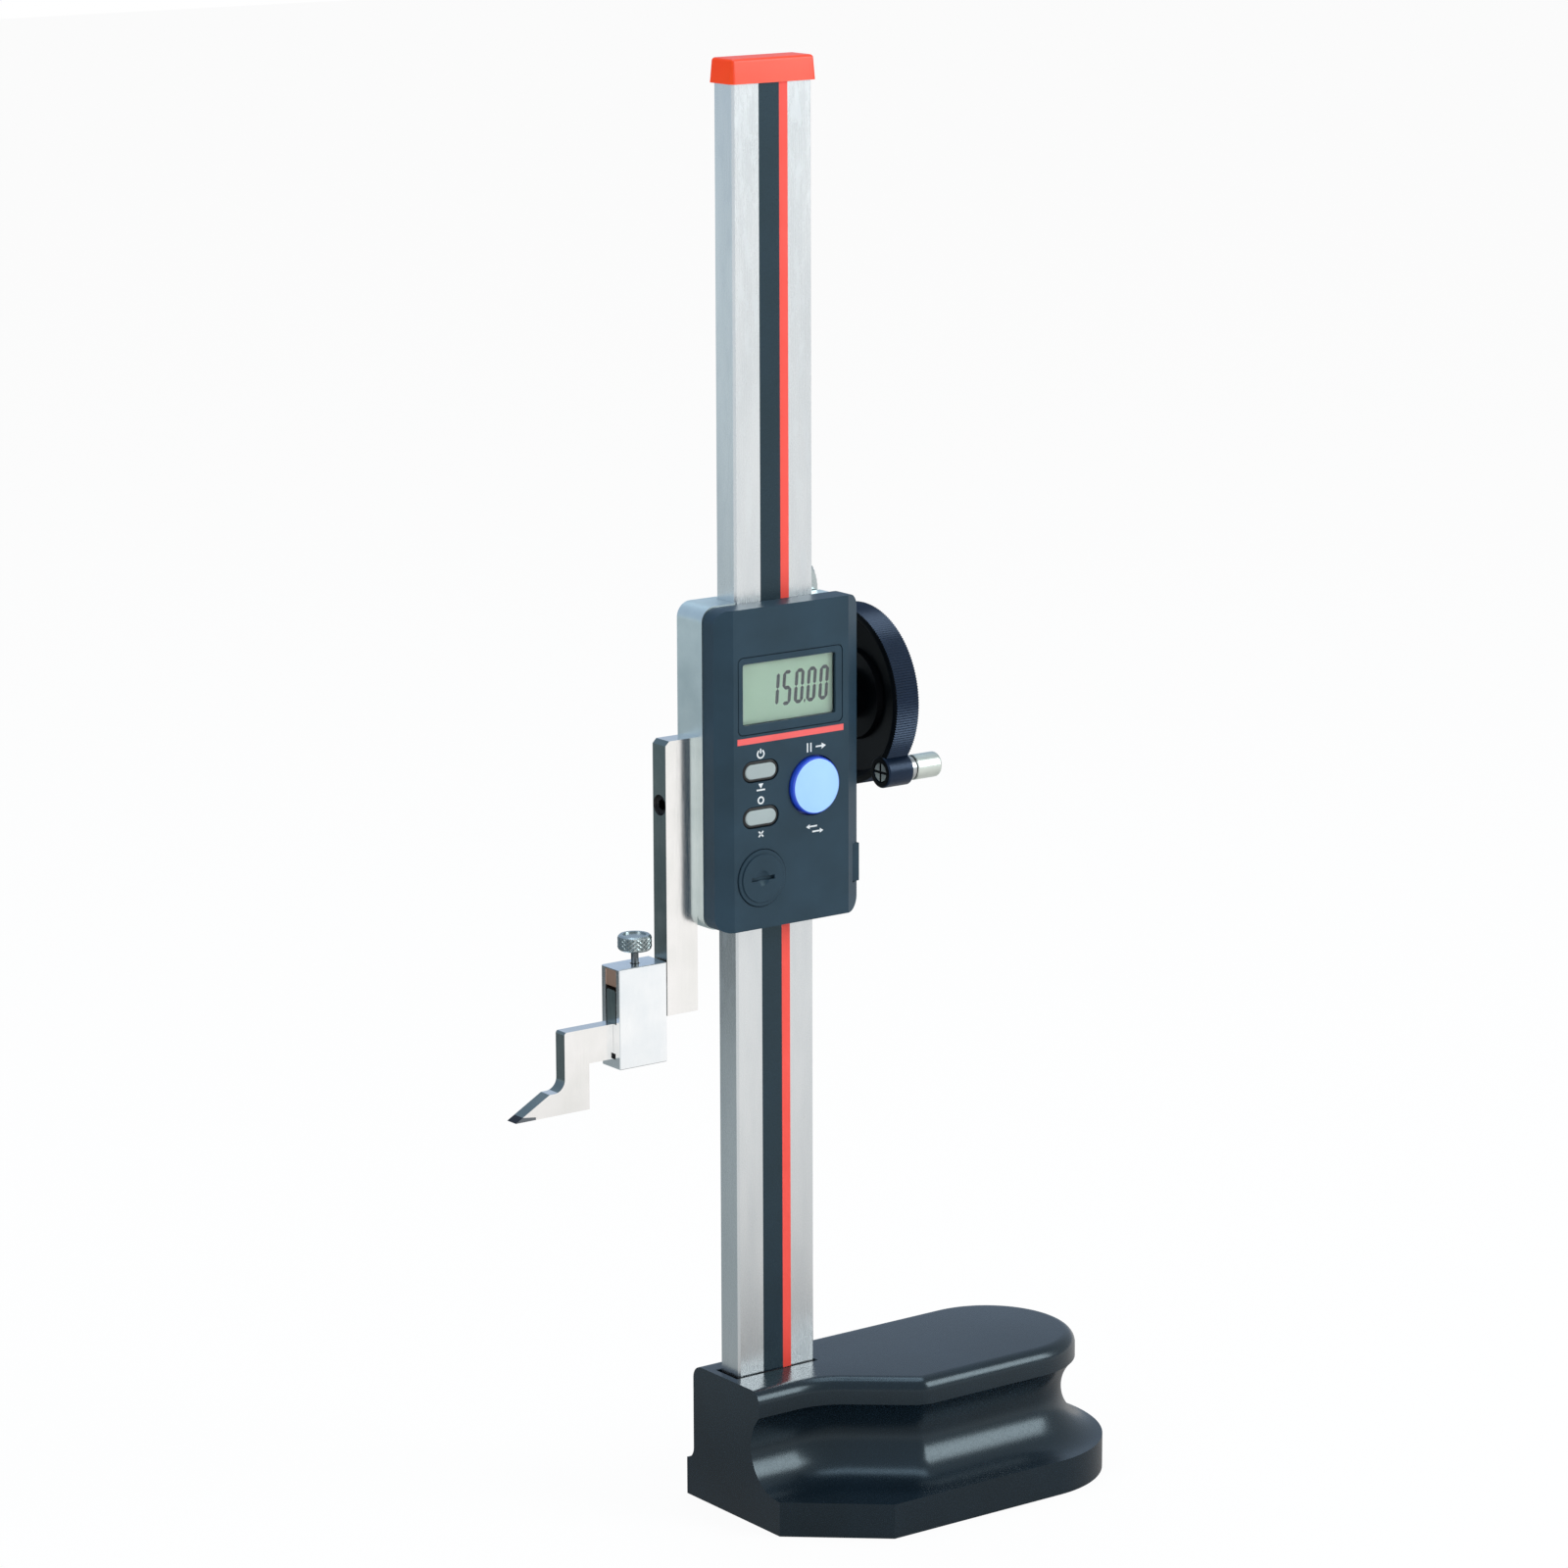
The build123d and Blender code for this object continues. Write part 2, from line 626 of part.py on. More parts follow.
def battery_cap():
    """Stepped screw cap with a coin slot across a round dimple."""
    front = housing_front_y
    step_y, disc_y = front - battery_cap_rise, front - battery_disc_rise
    rim = rod_y(battery_cap_radius, (step_y, front + 1.85), battery_x, battery_z)
    rim = chamfer(rim.edges().sort_by(Axis.Y)[0], 0.2)
    disc = rod_y(battery_disc_radius, (disc_y, step_y), battery_x, battery_z)
    cap = rim + chamfer(disc.edges().sort_by(Axis.Y)[0], 0.15)
    dimple_depth = coin_dimple_sphere - math.sqrt(coin_dimple_sphere ** 2 - coin_dimple_radius ** 2)
    cap -= Pos(battery_x, disc_y + dimple_depth - coin_dimple_sphere, battery_z) * Sphere(coin_dimple_sphere)
    length, height, depth = coin_slot
    return cap - block((battery_x - length / 2, battery_x + length / 2), (disc_y, disc_y + depth),
                       (battery_z - height / 2, battery_z + height / 2))


# ---- handwheel ----

def serrated_disc():
    points = []
    step = 2 * math.pi / serration_count
    for number in range(serration_count):
        angle = number * step
        points.append((wheel_radius * math.cos(angle), wheel_radius * math.sin(angle)))
        inner = wheel_radius - serration_depth
        points.append((inner * math.cos(angle + step / 2), inner * math.sin(angle + step / 2)))
    face = Plane.YZ * make_face(Polyline(*points, close=True))
    return Pos(wheel_left_x, wheel_y, wheel_z) * extrude(face, wheel_right_x - wheel_left_x)


def wheel_section():
    """Half section of the dished wheel's hollows: x along the axle, y the radius."""
    inner_face = make_face(Polyline((wheel_left_x - 1, 28.6), (wheel_left_x, 28.6), (wheel_left_x + 1.0, 27.6),
                                    (45.8, 26.4), (46.8, 16.0), (45.0, 15.2), (45.0, 8.5), (wheel_left_x - 1, 8.5),
                                    close=True))
    outer_face = make_face(Polyline((wheel_right_x + 1, 27.0), (wheel_right_x, 27.0), (49.2, 25.2), (48.8, 9.0),
                                    (wheel_right_x + 1, 9.0), close=True))
    return inner_face, outer_face


def handwheel():
    wheel = serrated_disc()
    rim_bevel = make_face(Polyline((wheel_left_x - 1, wheel_radius + 1), (wheel_left_x - 1, wheel_radius - 1.4),
                                   (wheel_left_x, wheel_radius - 1.4), (wheel_left_x + 0.9, wheel_radius + 1),
                                   close=True))
    axle = Axis((0, 0, 0), (1, 0, 0))
    boss = rod_x(handle_boss_radius, (handle_boss_left_x, wheel_right_x), handle_y, handle_z)
    boss = fillet(boss.edges().sort_by(Axis.X)[0], 0.7)
    for face in wheel_section() + (rim_bevel,):
        hollow = revolve(face, axle, 360)
        wheel -= Pos(0, wheel_y, wheel_z) * hollow
    wheel += boss
    wheel -= rod_x(3.5, (handle_boss_left_x, handle_boss_left_x + 1.2), handle_y, handle_z)
    wheel -= rod_x(handle_pin_radius, (handle_boss_left_x, wheel_right_x), handle_y, handle_z)
    wheel -= rod_x(shaft_radius, (wheel_left_x - 2, hub_seat_x), wheel_y, wheel_z)
    wheel -= rod_x(hub_thread_radius, (hub_seat_x, wheel_right_x + 1), wheel_y, wheel_z)
    return wheel


def hub_nut():
    nut = rod_x(5.0, (wheel_right_x, shaft_right_x), wheel_y, wheel_z)
    nut = chamfer(nut.edges().sort_by(Axis.X)[-1], 0.5)
    return nut - rod_x(hub_thread_radius, (wheel_right_x - 1, shaft_right_x + 1), wheel_y, wheel_z)


def handle_pin():
    """Shoulder screw that the handle turns on, with its head in the boss."""
    head = rod_x(3.15, (handle_boss_left_x + 0.25, handle_boss_left_x + 1.2), handle_y, handle_z)
    slot = block((-1, 0.5), (-3.2, 3.2), (-0.45, 0.45))
    cross = block((-1, 0.5), (-0.45, 0.45), (-3.2, 3.2))
    pin = head - Pos(handle_boss_left_x + 0.25, handle_y, handle_z) * (slot + cross)
    pin += rod_x(handle_pin_radius, (handle_boss_left_x + 1.2, handle_knob_right_x - 3.0), handle_y, handle_z)
    return pin + rod_x(handle_collar_radius, (wheel_right_x, handle_collar_right_x), handle_y, handle_z)


def handle_knob():
    knob = rod_x(handle_knob_radius, (handle_knob_left_x, handle_knob_right_x), handle_y, handle_z)
    knob = fillet(knob.edges().sort_by(Axis.X)[-1], 1.3)
    knob = chamfer(knob.edges().sort_by(Axis.X)[0], 0.3)
    bore = (handle_knob_left_x, handle_knob_right_x - 2.6)
    return knob - rod_x(handle_pin_radius + 0.05, bore, handle_y, handle_z)


# ---- lock knob ----

def lock_screw():
    """Knurled lock knob with its screw, which runs through the slider's lug to the column."""
    points = []
    count = 60
    for number in range(count * 2):
        radius = lock_knob_radius - (0.45 if number % 2 else 0)
        angle = number * math.pi / count
        points.append((lock_x + radius * math.cos(angle), lock_z + radius * math.sin(angle)))
    knob = plate_xz(make_face(Polyline(*points, close=True)), lock_knob_y)
    rim = revolve(Pos(0, 0) * make_face(Polyline((lock_knob_radius - 1.0, 0), (lock_knob_radius + 1, 0),
                                                 (lock_knob_radius + 1, 2.0), close=True)), Axis.Y, 360)
    knob -= Pos(lock_x, lock_knob_y[0], lock_z) * rim
    knob -= Pos(lock_x, lock_knob_y[1], lock_z) * Rot(180, 0, 0) * rim
    knob -= rod_y(10.5, (lock_knob_y[1] - 1.5, lock_knob_y[1]), lock_x, lock_z)
    knob += rod_y(5.0, (slider_back_y + 0.15, lock_knob_y[0]), lock_x, lock_z)
    knob += rod_y(lock_thread_radius - 0.05, (channel_back_y + 0.6, lock_knob_y[0]), lock_x, lock_z)
    return knob


# ---- jaw, clamp and scriber ----

def jaw():
    bar = block((jaw_left_x, slider_left_x), jaw_y, (jaw_bottom_z, jaw_top_z))
    bar = chamfer(bar.edges().filter_by(Axis.Y).sort_by_distance((jaw_left_x, 0, jaw_top_z))[0], 1.5)
    finger = block((finger_left_x, jaw_left_x), finger_y, (jaw_bottom_z, finger_top_z))
    finger = chamfer(finger.edges().filter_by(Axis.X).group_by(Axis.Z)[-1], 0.6)
    bar += finger
    bar -= rod_x(3.5, (jaw_left_x, jaw_left_x + 5.0), jaw_screw_y, jaw_screw_z)
    bar -= rod_x(2.1, (jaw_left_x, slider_left_x), jaw_screw_y, jaw_screw_z)
    for z in jaw_pin_z:
        bar -= rod_x(jaw_pin_radius, (jaw_pin_x[0], slider_left_x), jaw_screw_y, z)
    return bar


def jaw_screw():
    screw = Rot(0, -90, 0) * cap_screw(3.4, 4.0, 2.0, 17.4)
    return Pos(slider_left_x + 10.0, jaw_screw_y, jaw_screw_z) * screw


def jaw_pins():
    return Compound([rod_x(jaw_pin_radius, jaw_pin_x, jaw_screw_y, z) for z in jaw_pin_z])


def clamp_frame():
    frame = block(clamp_x, clamp_y, clamp_z)
    frame = chamfer(frame.edges(), 0.25)
    frame -= block(clamp_x, clamp_slot_y, (jaw_bottom_z - 0.05, clamp_z[1] - clamp_roof))
    frame -= block(clamp_x, (scriber_y[0] - 0.05, scriber_y[1] + 0.05), (scriber_bottom_z - 0.05, jaw_bottom_z))
    frame -= block(clamp_x, (scriber_y[0] - 1.3, scriber_y[0]), (scriber_bottom_z - 0.05, scriber_bottom_z + 1.9))
    return frame - rod_z(1.7, (clamp_z[1] - clamp_roof, clamp_z[1]), screw_x, screw_y)


def nut_block():
    nut = block((clamp_x[0] + 0.1, clamp_x[1] - 0.1), clamp_slot_y, (finger_top_z + 1.2, clamp_z[1] - clamp_roof))
    nut = chamfer(nut.edges().filter_by(Axis.X).group_by(Axis.Z)[-1], 0.4)
    return nut - rod_z(1.5, (finger_top_z, clamp_z[1]), screw_x, screw_y)


def thumb_screw():
    head = rod_z(thumb_head_radius, thumb_head_z, screw_x, screw_y)
    head = chamfer(head.edges().group_by(Axis.Z)[-1] + head.edges().group_by(Axis.Z)[0], 0.5)
    dish = rod_z(3.9, (thumb_head_z[1] - 0.5, thumb_head_z[1]), screw_x, screw_y)
    neck = rod_z(1.25, (clamp_z[1] - clamp_roof, thumb_head_z[0]), screw_x, screw_y)
    thread = rod_z(1.45, (finger_top_z + 0.1, clamp_z[1] - clamp_roof), screw_x, screw_y)
    return head - dish + neck + thread


def scriber_face():
    face = make_face(Polyline((clamp_x[1], scriber_bottom_z), (clamp_x[1], scriber_top_z),
                              (scriber_drop_x[0], scriber_top_z), (scriber_drop_x[0], scriber_nose_z),
                              (scriber_nose_x, scriber_nose_z), (scriber_tip_x, scriber_tip_z),
                              (scriber_drop_x[1], scriber_tip_z), (scriber_drop_x[1], scriber_bottom_z), close=True))
    inner = face.vertices().sort_by_distance((scriber_drop_x[0], scriber_nose_z, 0))[0]
    face = fillet(inner, 4.2)
    outer = face.vertices().sort_by_distance((scriber_drop_x[0], scriber_top_z, 0))[0]
    return fillet(outer, 1.0)


def carbide_insert():
    """The room of the brazed insert: along the slanted edge at the tip and back along the underside."""
    slope = (scriber_nose_z - scriber_tip_z) / (scriber_nose_x - scriber_tip_x)
    top = (scriber_tip_x + carbide_slant, scriber_tip_z + carbide_slant * slope)
    above = (scriber_tip_x - 1, top[1])
    end_x = scriber_tip_x + carbide_length
    face = make_face(Polyline((scriber_tip_x - 1, scriber_tip_z - 1), above, top,
                              (end_x, scriber_tip_z + carbide_end_height), (end_x, scriber_tip_z - 1), close=True))
    return plate_xz(face, scriber_y)


def scriber():
    return plate_xz(scriber_face(), scriber_y) - carbide_insert()


def carbide_tip():
    return plate_xz(scriber_face(), scriber_y) & carbide_insert()


def build_nodes():
    return {
        "base_casting": base_casting(),
        "column": column(),
        "column_cap": column_cap(),
        "scale_strip": scale_strip(),
        "scale_stripe": scale_stripe(),
        "column_rack": column_rack(),
        "rack_screws": rack_screws(),
        "column_bolts": column_bolts(),
        "slider_frame": slider_frame(),
        "gib_strip": gib_strip(),
        "gib_screws": gib_screws(),
        "feed_housing": feed_housing(),
        "feed_screws": feed_screws(),
        "shaft_bushings": shaft_bushings(),
        "display_housing": display_housing(),
        "display_bezel": display_bezel(),
        "display_window": display_window(),
        "lcd_panel": lcd_panel(),
        "display_stripe": display_stripe(),
        "circuit_board": circuit_board(),
        "detector_board": detector_board(),
        "keypad": keypad(),
        "battery": battery(),
        "battery_contact": battery_contact(),
        "housing_screws": housing_screws(),
        "connector_cover": connector_cover(),
        "hold_button": hold_button(),
        "on_off_button": small_button(on_off_z),
        "zero_button": small_button(zero_z),
        "battery_cap": battery_cap(),
        "handwheel": handwheel(),
        "pinion_shaft": pinion_shaft(),
        "hub_nut": hub_nut(),
        "handle_pin": handle_pin(),
        "handle_knob": handle_knob(),
        "lock_screw": lock_screw(),
        "jaw": jaw(),
        "jaw_screw": jaw_screw(),
        "jaw_pins": jaw_pins(),
        "clamp_frame": clamp_frame(),
        "nut_block": nut_block(),
        "thumb_screw": thumb_screw(),
        "scriber": scriber(),
        "carbide_tip": carbide_tip(),
    }


os.makedirs("parts", exist_ok=True)
for name, shape in build_nodes().items():
    export_step(shape, f"parts/{name}.step")
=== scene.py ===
import bpy
import json
import math
from mathutils import Matrix, Vector

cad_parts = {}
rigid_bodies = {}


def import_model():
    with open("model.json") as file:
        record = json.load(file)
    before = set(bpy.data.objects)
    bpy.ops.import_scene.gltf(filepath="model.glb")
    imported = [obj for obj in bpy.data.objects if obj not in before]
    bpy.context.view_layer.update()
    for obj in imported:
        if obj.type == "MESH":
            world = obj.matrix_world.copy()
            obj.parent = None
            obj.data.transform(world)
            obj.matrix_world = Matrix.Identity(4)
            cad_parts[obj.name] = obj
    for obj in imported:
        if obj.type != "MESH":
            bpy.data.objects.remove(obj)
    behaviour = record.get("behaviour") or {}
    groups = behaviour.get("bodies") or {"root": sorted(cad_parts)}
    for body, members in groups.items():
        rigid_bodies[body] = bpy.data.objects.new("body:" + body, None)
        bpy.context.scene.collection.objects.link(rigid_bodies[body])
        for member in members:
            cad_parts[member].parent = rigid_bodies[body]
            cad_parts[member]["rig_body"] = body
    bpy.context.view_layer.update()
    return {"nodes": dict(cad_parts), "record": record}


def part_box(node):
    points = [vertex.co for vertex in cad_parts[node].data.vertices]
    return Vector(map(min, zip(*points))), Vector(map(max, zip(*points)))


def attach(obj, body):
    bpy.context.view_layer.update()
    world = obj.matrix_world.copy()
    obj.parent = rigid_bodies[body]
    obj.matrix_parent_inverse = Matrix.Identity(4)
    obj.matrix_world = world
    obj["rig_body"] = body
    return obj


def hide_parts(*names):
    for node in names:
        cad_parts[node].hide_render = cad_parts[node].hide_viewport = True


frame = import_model()
nodes = frame["nodes"]
slotOfNode = {part["node"]: part["material_slot"] for part in frame["record"]["subparts"]}
mm = 0.001


def hexColour(code):
    parts = [int(code[i:i + 2], 16) / 255 for i in (1, 3, 5)]
    return [c / 12.92 if c <= 0.04045 else ((c + 0.055) / 1.055) ** 2.4 for c in parts] + [1.0]


def addNode(tree, kind, inputs=None, **settings):
    node = tree.nodes.new("ShaderNode" + kind)
    for key, value in settings.items():
        setattr(node, key, value)
    for key, value in (inputs or {}).items():
        if isinstance(value, bpy.types.NodeSocket):
            tree.links.new(value, node.inputs[key])
        else:
            node.inputs[key].default_value = value
    return node


def startMaterial(name, colour, metallic, roughness):
    material = bpy.data.materials.new(name)
    material.use_nodes = True
    tree = material.node_tree
    shader = tree.nodes["Principled BSDF"]
    shader.inputs["Base Color"].default_value = hexColour(colour)
    shader.inputs["Metallic"].default_value = metallic
    shader.inputs["Roughness"].default_value = roughness
    place = addNode(tree, "TexCoord").outputs["Object"]
    return material, tree, shader, place


# a stretched or even noise: size is one grain in millimetres along X, Y and Z
def grain(tree, place, size, detail):
    scale = [1.0 / (s * mm) for s in size]
    spread = addNode(tree, "Mapping", {"Vector": place, "Scale": scale})
    return addNode(tree, "TexNoise", {"Vector": spread.outputs["Vector"], "Scale": 1.0, "Detail": detail}).outputs[0]


noiseSpan = {"From Min": 0.3, "From Max": 0.7}  # nearly all of a noise lies between these


# a surface: its colour drifts between two codes with the cloud, and its marks set how matt and how uneven it is
def dressSurface(tree, shader, cloud, codes, marks, matt, depthMm, strength):
    drift = addNode(tree, "MapRange", {"Value": cloud, **noiseSpan}).outputs["Result"]
    colour = addNode(tree, "Mix", {"Factor": drift, 6: hexColour(codes[0]), 7: hexColour(codes[1])}, data_type="RGBA")
    dull = addNode(tree, "MapRange", {"Value": marks, **noiseSpan, "To Min": matt[0], "To Max": matt[1]})
    relief = addNode(tree, "Bump", {"Height": marks, "Distance": depthMm * mm, "Strength": strength})
    tree.links.new(colour.outputs[2], shader.inputs["Base Color"])
    tree.links.new(dull.outputs["Result"], shader.inputs["Roughness"])
    tree.links.new(relief.outputs["Normal"], shader.inputs["Normal"])
    return dull.outputs["Result"]


# slate enamel baked on ground cast iron: nearly black, with crisp but soft-edged highlights and a faint orange peel
# whose bumps are a little under a millimetre across, as they really are
def enamelledIron():
    material, tree, shader, place = startMaterial("bakedEnamelIron", "#080f14", 0.0, 0.2)
    shader.inputs["Specular IOR Level"].default_value = 0.55
    shader.inputs["Specular Tint"].default_value = hexColour("#e2f6ff")
    peel = grain(tree, place, (0.9, 0.9, 0.9), 3.0)
    cloud = grain(tree, place, (30, 30, 30), 4.0)
    dressSurface(tree, shader, cloud, ("#0d1820", "#111e28"), marks=peel, matt=(0.24, 0.3), depthMm=0.008,
                 strength=0.15)
    return material


# stainless bar ground along its length: long fine scratches, slow bands of brightness and a few dull smears;
# a real scratch is about 0.02 mm wide and is drawn at 0.12 mm to show at all
def groundStainless():
    material, tree, shader, place = startMaterial("groundStainless", "#d8dbda", 1.0, 0.3)
    scratches = grain(tree, place, (0.12, 0.12, 30), 3.0)
    cloud = grain(tree, place, (9, 9, 45), 4.0)
    dull = dressSurface(tree, shader, cloud, ("#d2d6d8", "#dee1e2"), marks=scratches, matt=(0.24, 0.29),
                        depthMm=0.002, strength=0.15)
    smudge = grain(tree, place, (3, 3, 10), 5.0)
    smear = addNode(tree, "MapRange", {"Value": smudge, "From Min": 0.5, "From Max": 0.7, "To Max": 0.05})
    duller = addNode(tree, "Math", {0: dull, 1: smear.outputs["Result"]}, operation="ADD")
    tree.links.new(duller.outputs[0], shader.inputs["Roughness"])
    return material


# moulded plastic or rubber with a fine spark-eroded skin: even colour, broken sheen; the skin's real grain of
# about 0.05 mm is drawn a few tenths of a millimetre wide, coarse enough to show
def mouldedPlastic(name, darkCode, lightCode, roughness, grainMm=0.25, depthMm=0.012, gloss=0.5, sheen="#ffffff"):
    material, tree, shader, place = startMaterial(name, lightCode, 0.0, roughness)
    shader.inputs["Specular Tint"].default_value = hexColour(sheen)
    shader.inputs["Specular IOR Level"].default_value = gloss
    skin = grain(tree, place, (grainMm, grainMm, grainMm), 2.0)
    cloud = grain(tree, place, (18, 18, 18), 3.0)
    dressSurface(tree, shader, cloud, (darkCode, lightCode), marks=skin,
                 matt=(roughness - 0.05, roughness + 0.07), depthMm=depthMm, strength=0.5)
    return material


# steel or plated metal with an even satin, its fine marks running along the longest of the three sizes; a tool's
# real marks, about 0.02 mm wide, are drawn some ten times coarser so that they show
def satinMetal(name, darkCode, lightCode, roughness, markMm=(0.3, 0.3, 0.3), depthMm=0.003):
    material, tree, shader, place = startMaterial(name, lightCode, 1.0, roughness)
    marks = grain(tree, place, markMm, 3.0)
    cloud = grain(tree, place, (12, 12, 12), 3.0)
    dressSurface(tree, shader, cloud, (darkCode, lightCode), marks=marks,
                 matt=(roughness - 0.05, roughness + 0.08), depthMm=depthMm, strength=0.4)
    return material


# cast acrylic window: clear, with a trace of haze
def clearWindow():
    material, tree, shader, place = startMaterial("clearAcrylic", "#ffffff", 0.0, 0.03)
    shader.inputs["IOR"].default_value = 1.49
    shader.inputs["Transmission Weight"].default_value = 1.0
    cloud = grain(tree, place, (6, 6, 6), 2.0)
    haze = addNode(tree, "MapRange", {"Value": cloud, **noiseSpan, "To Min": 0.02, "To Max": 0.05})
    tree.links.new(haze.outputs["Result"], shader.inputs["Roughness"])
    return material


# one finish for each material slot: what it is made of, its two hex colours and its roughness
finishes = {
    # baked enamel over cast iron
    "base_enamel": enamelledIron(),
    # ground stainless bar
    "column_steel": groundStainless(),
    # moulded ABS cap: strong orange-red with a soft, slightly chalky sheen
    "cap_orange": mouldedPlastic("orangeAbs", "#f0401c", "#fb4a26", 0.38, grainMm=0.4, depthMm=0.006),
    # coated scale cover: smooth blue-black that turns teal where it catches the room
    "strip_black": mouldedPlastic("blackScaleCover", "#0c1722", "#111f2d", 0.3, grainMm=0.3, depthMm=0.004,
                                  gloss=0.6, sheen="#c8f2ff"),
    # coated scale stripe: clean coral red, even from end to end
    "strip_red": mouldedPlastic("redScaleStripe", "#f8493b", "#ff5145", 0.38, grainMm=0.3, depthMm=0.004),
    # cut rack: dull grey steel, its cutter marks running across the teeth
    "rack_steel": satinMetal("cutRackSteel", "#85898b", "#a2a6a7", 0.36, markMm=(4, 0.2, 0.2)),
    # black oxide on small screws: oily near-black
    "screw_steel": satinMetal("blackOxideSteel", "#1a1b1d", "#2a2b2e", 0.42),
    # satin chrome on a blasted casting: pale grey with a faint pebble
    "slider_steel": satinMetal("satinChromedCasting", "#c9d6d6", "#dbe6e5", 0.38, markMm=(0.5, 0.5, 0.5),
                               depthMm=0.02),
    # scraped brass gib: warm and dull
    "gib_brass": satinMetal("scrapedBrass", "#a98748", "#c4a25e", 0.38),
    # sprayed satin paint: dark slate with a fine skin
    "feed_metal": mouldedPlastic("darkSatinPaint", "#232b32", "#2b343c", 0.4, grainMm=0.6, depthMm=0.02),
    # sintered bronze bushes: brown and matt
    "bush_bronze": satinMetal("sinteredBronze", "#8a6238", "#a87b4c", 0.5),
    # spark-eroded ABS housing: matt blue-grey charcoal
    "housing_plastic": mouldedPlastic("charcoalAbs", "#213442", "#273c4c", 0.46, gloss=0.3, sheen="#e4ffff"),
    # cast acrylic window
    "window_clear": clearWindow(),
    # display polariser: flat pale green, barely shiny
    "lcd_green": mouldedPlastic("displayPolariser", "#bfe4c8", "#c8ebd1", 0.4, grainMm=0.5, depthMm=0.001, gloss=0.2),
    # printed line: flat salmon red ink
    "line_red": mouldedPlastic("redPrint", "#ee5a58", "#f86664", 0.4, grainMm=0.3, depthMm=0.002),
    # solder-masked board: glossy dark green
    "board_green": mouldedPlastic("circuitBoard", "#16452c", "#1d5436", 0.4),
    # silicone rubber: dull grey
    "keypad_rubber": mouldedPlastic("siliconeMat", "#3a3c3f", "#46484b", 0.6),
    # nickel-plated cell: bright and slightly warm
    "cell_steel": satinMetal("nickelCell", "#c8c8c4", "#dcdcd8", 0.22),
    # moulded key caps: pale blue and cool grey, silky to the eye
    "key_blue": mouldedPlastic("paleBlueKey", "#a2d0fb", "#acd8ff", 0.42, grainMm=0.3, depthMm=0.004),
    "key_grey": mouldedPlastic("greyKey", "#a0acac", "#abb7b7", 0.48, grainMm=0.3, depthMm=0.006),
    # glass-filled nylon wheel: black that gives almost nothing back
    "wheel_black": mouldedPlastic("blackNylon", "#04070a", "#06090e", 0.34, grainMm=0.3, depthMm=0.006, gloss=0.1),
    # turned shafts: plain mid-grey steel with an even shine
    "shaft_steel": satinMetal("turnedSteel", "#a4a7a8", "#bcbfbf", 0.28),
    # turned aluminium knob: pale and soft, with turning marks round it
    "knob_silver": satinMetal("turnedAluminium", "#cbd3cc", "#dde2db", 0.34, markMm=(8, 0.15, 0.15)),
    # turned and chromed heads: cool bright grey
    "knurl_steel": satinMetal("turnedChrome", "#98a3a4", "#b4bdbe", 0.26),
    # lapped tool steel: nearly white, with a faint vertical grain
    "jaw_steel": satinMetal("lappedToolSteel", "#efeeeb", "#f8f6f4", 0.17, markMm=(0.15, 0.15, 12), depthMm=0.001),
    # satin chrome clamp: the whitest metal of all, very slightly blue
    "clamp_chrome": satinMetal("satinChrome", "#eef3f6", "#fafcfd", 0.17, markMm=(0.2, 0.2, 6), depthMm=0.001),
    # bronze nut: pinkish brown
    "nut_bronze": satinMetal("nutBronze", "#b8917b", "#d0ab96", 0.36),
    # ground carbide: heavy mid grey
    "carbide": satinMetal("groundCarbide", "#646a70", "#777d82", 0.3),
}
# second finishes, for single faces of a piece
# ground edge of a lapped blade: a plainer steel, made much darker as painted shade on the faces turned to the left
leftShadedSteel = satinMetal("groundToolSteelSide", "#717f80", "#86908f", 0.3, markMm=(0.15, 0.15, 12), depthMm=0.002)
# knurled chrome studs: a darker chrome than the head, with a broken shine
darkKnurlChrome = satinMetal("dustyKnurledChrome", "#6f7b7c", "#8b9798", 0.24)
# stem: smooth steel, darker than the head
darkStem = satinMetal("blackenedStemSteel", "#585d60", "#6b7073", 0.3, markMm=(0.2, 0.2, 4))
# carbide faces turned to the left or up: nearly black, as painted shade
shadedCarbide = satinMetal("unpolishedCarbide", "#2b2e33", "#3c4046", 0.35)
# rim of the nylon wheel: blue-black as a painted reflection of the cool room, with a sheen that the wheel's web lacks
rimPaintedReflection = mouldedPlastic("blueBlackNylonRim", "#0e1a2a", "#132135", 0.34, grainMm=0.3, depthMm=0.006,
                              gloss=0.35, sheen="#bcd8ff")
# cap's left side: a deeper orange-red with less sheen than its top, as painted shade
shadedSideOrange = mouldedPlastic("orangeAbsSide", "#ff4416", "#ff4d1c", 0.5, grainMm=0.4, depthMm=0.006, gloss=0.2)
# painted shade in a screw's slot: dead and dark
slotShadow = satinMetal("darkScrewSlot", "#15161a", "#222429", 0.5)
# skirt of the blue key: deep blue, painted shade on its side wall and outer edge
shadedBlueKeySide = mouldedPlastic("deepBlueKeySide", "#2348cc", "#3560e8", 0.3, grainMm=0.3, depthMm=0.003)
# painted shade in the gap round a key: a soft dead black ring
gapShadeBlack = mouldedPlastic("blackRubberCollar", "#08090b", "#0f1114", 0.5, grainMm=0.2, depthMm=0.01)
# liquid crystal turned on: flat dark teal
segmentInk = mouldedPlastic("liquidCrystalSegment", "#18333a", "#203e45", 0.35, grainMm=0.4, depthMm=0.001)
# pad-printed ink: thin opaque white
whiteInk = mouldedPlastic("whitePadPrint", "#d9dee0", "#e8ecee", 0.5, grainMm=0.3, depthMm=0.002)
print("materials ready:", len(finishes))


def useMaterial(piece, slotName, material=None):
    piece.data.materials.clear()
    piece.data.materials.append(material or finishes[slotName])


def selectOnly(piece):
    bpy.ops.object.select_all(action="DESELECT")
    piece.select_set(True)
    bpy.context.view_layer.objects.active = piece


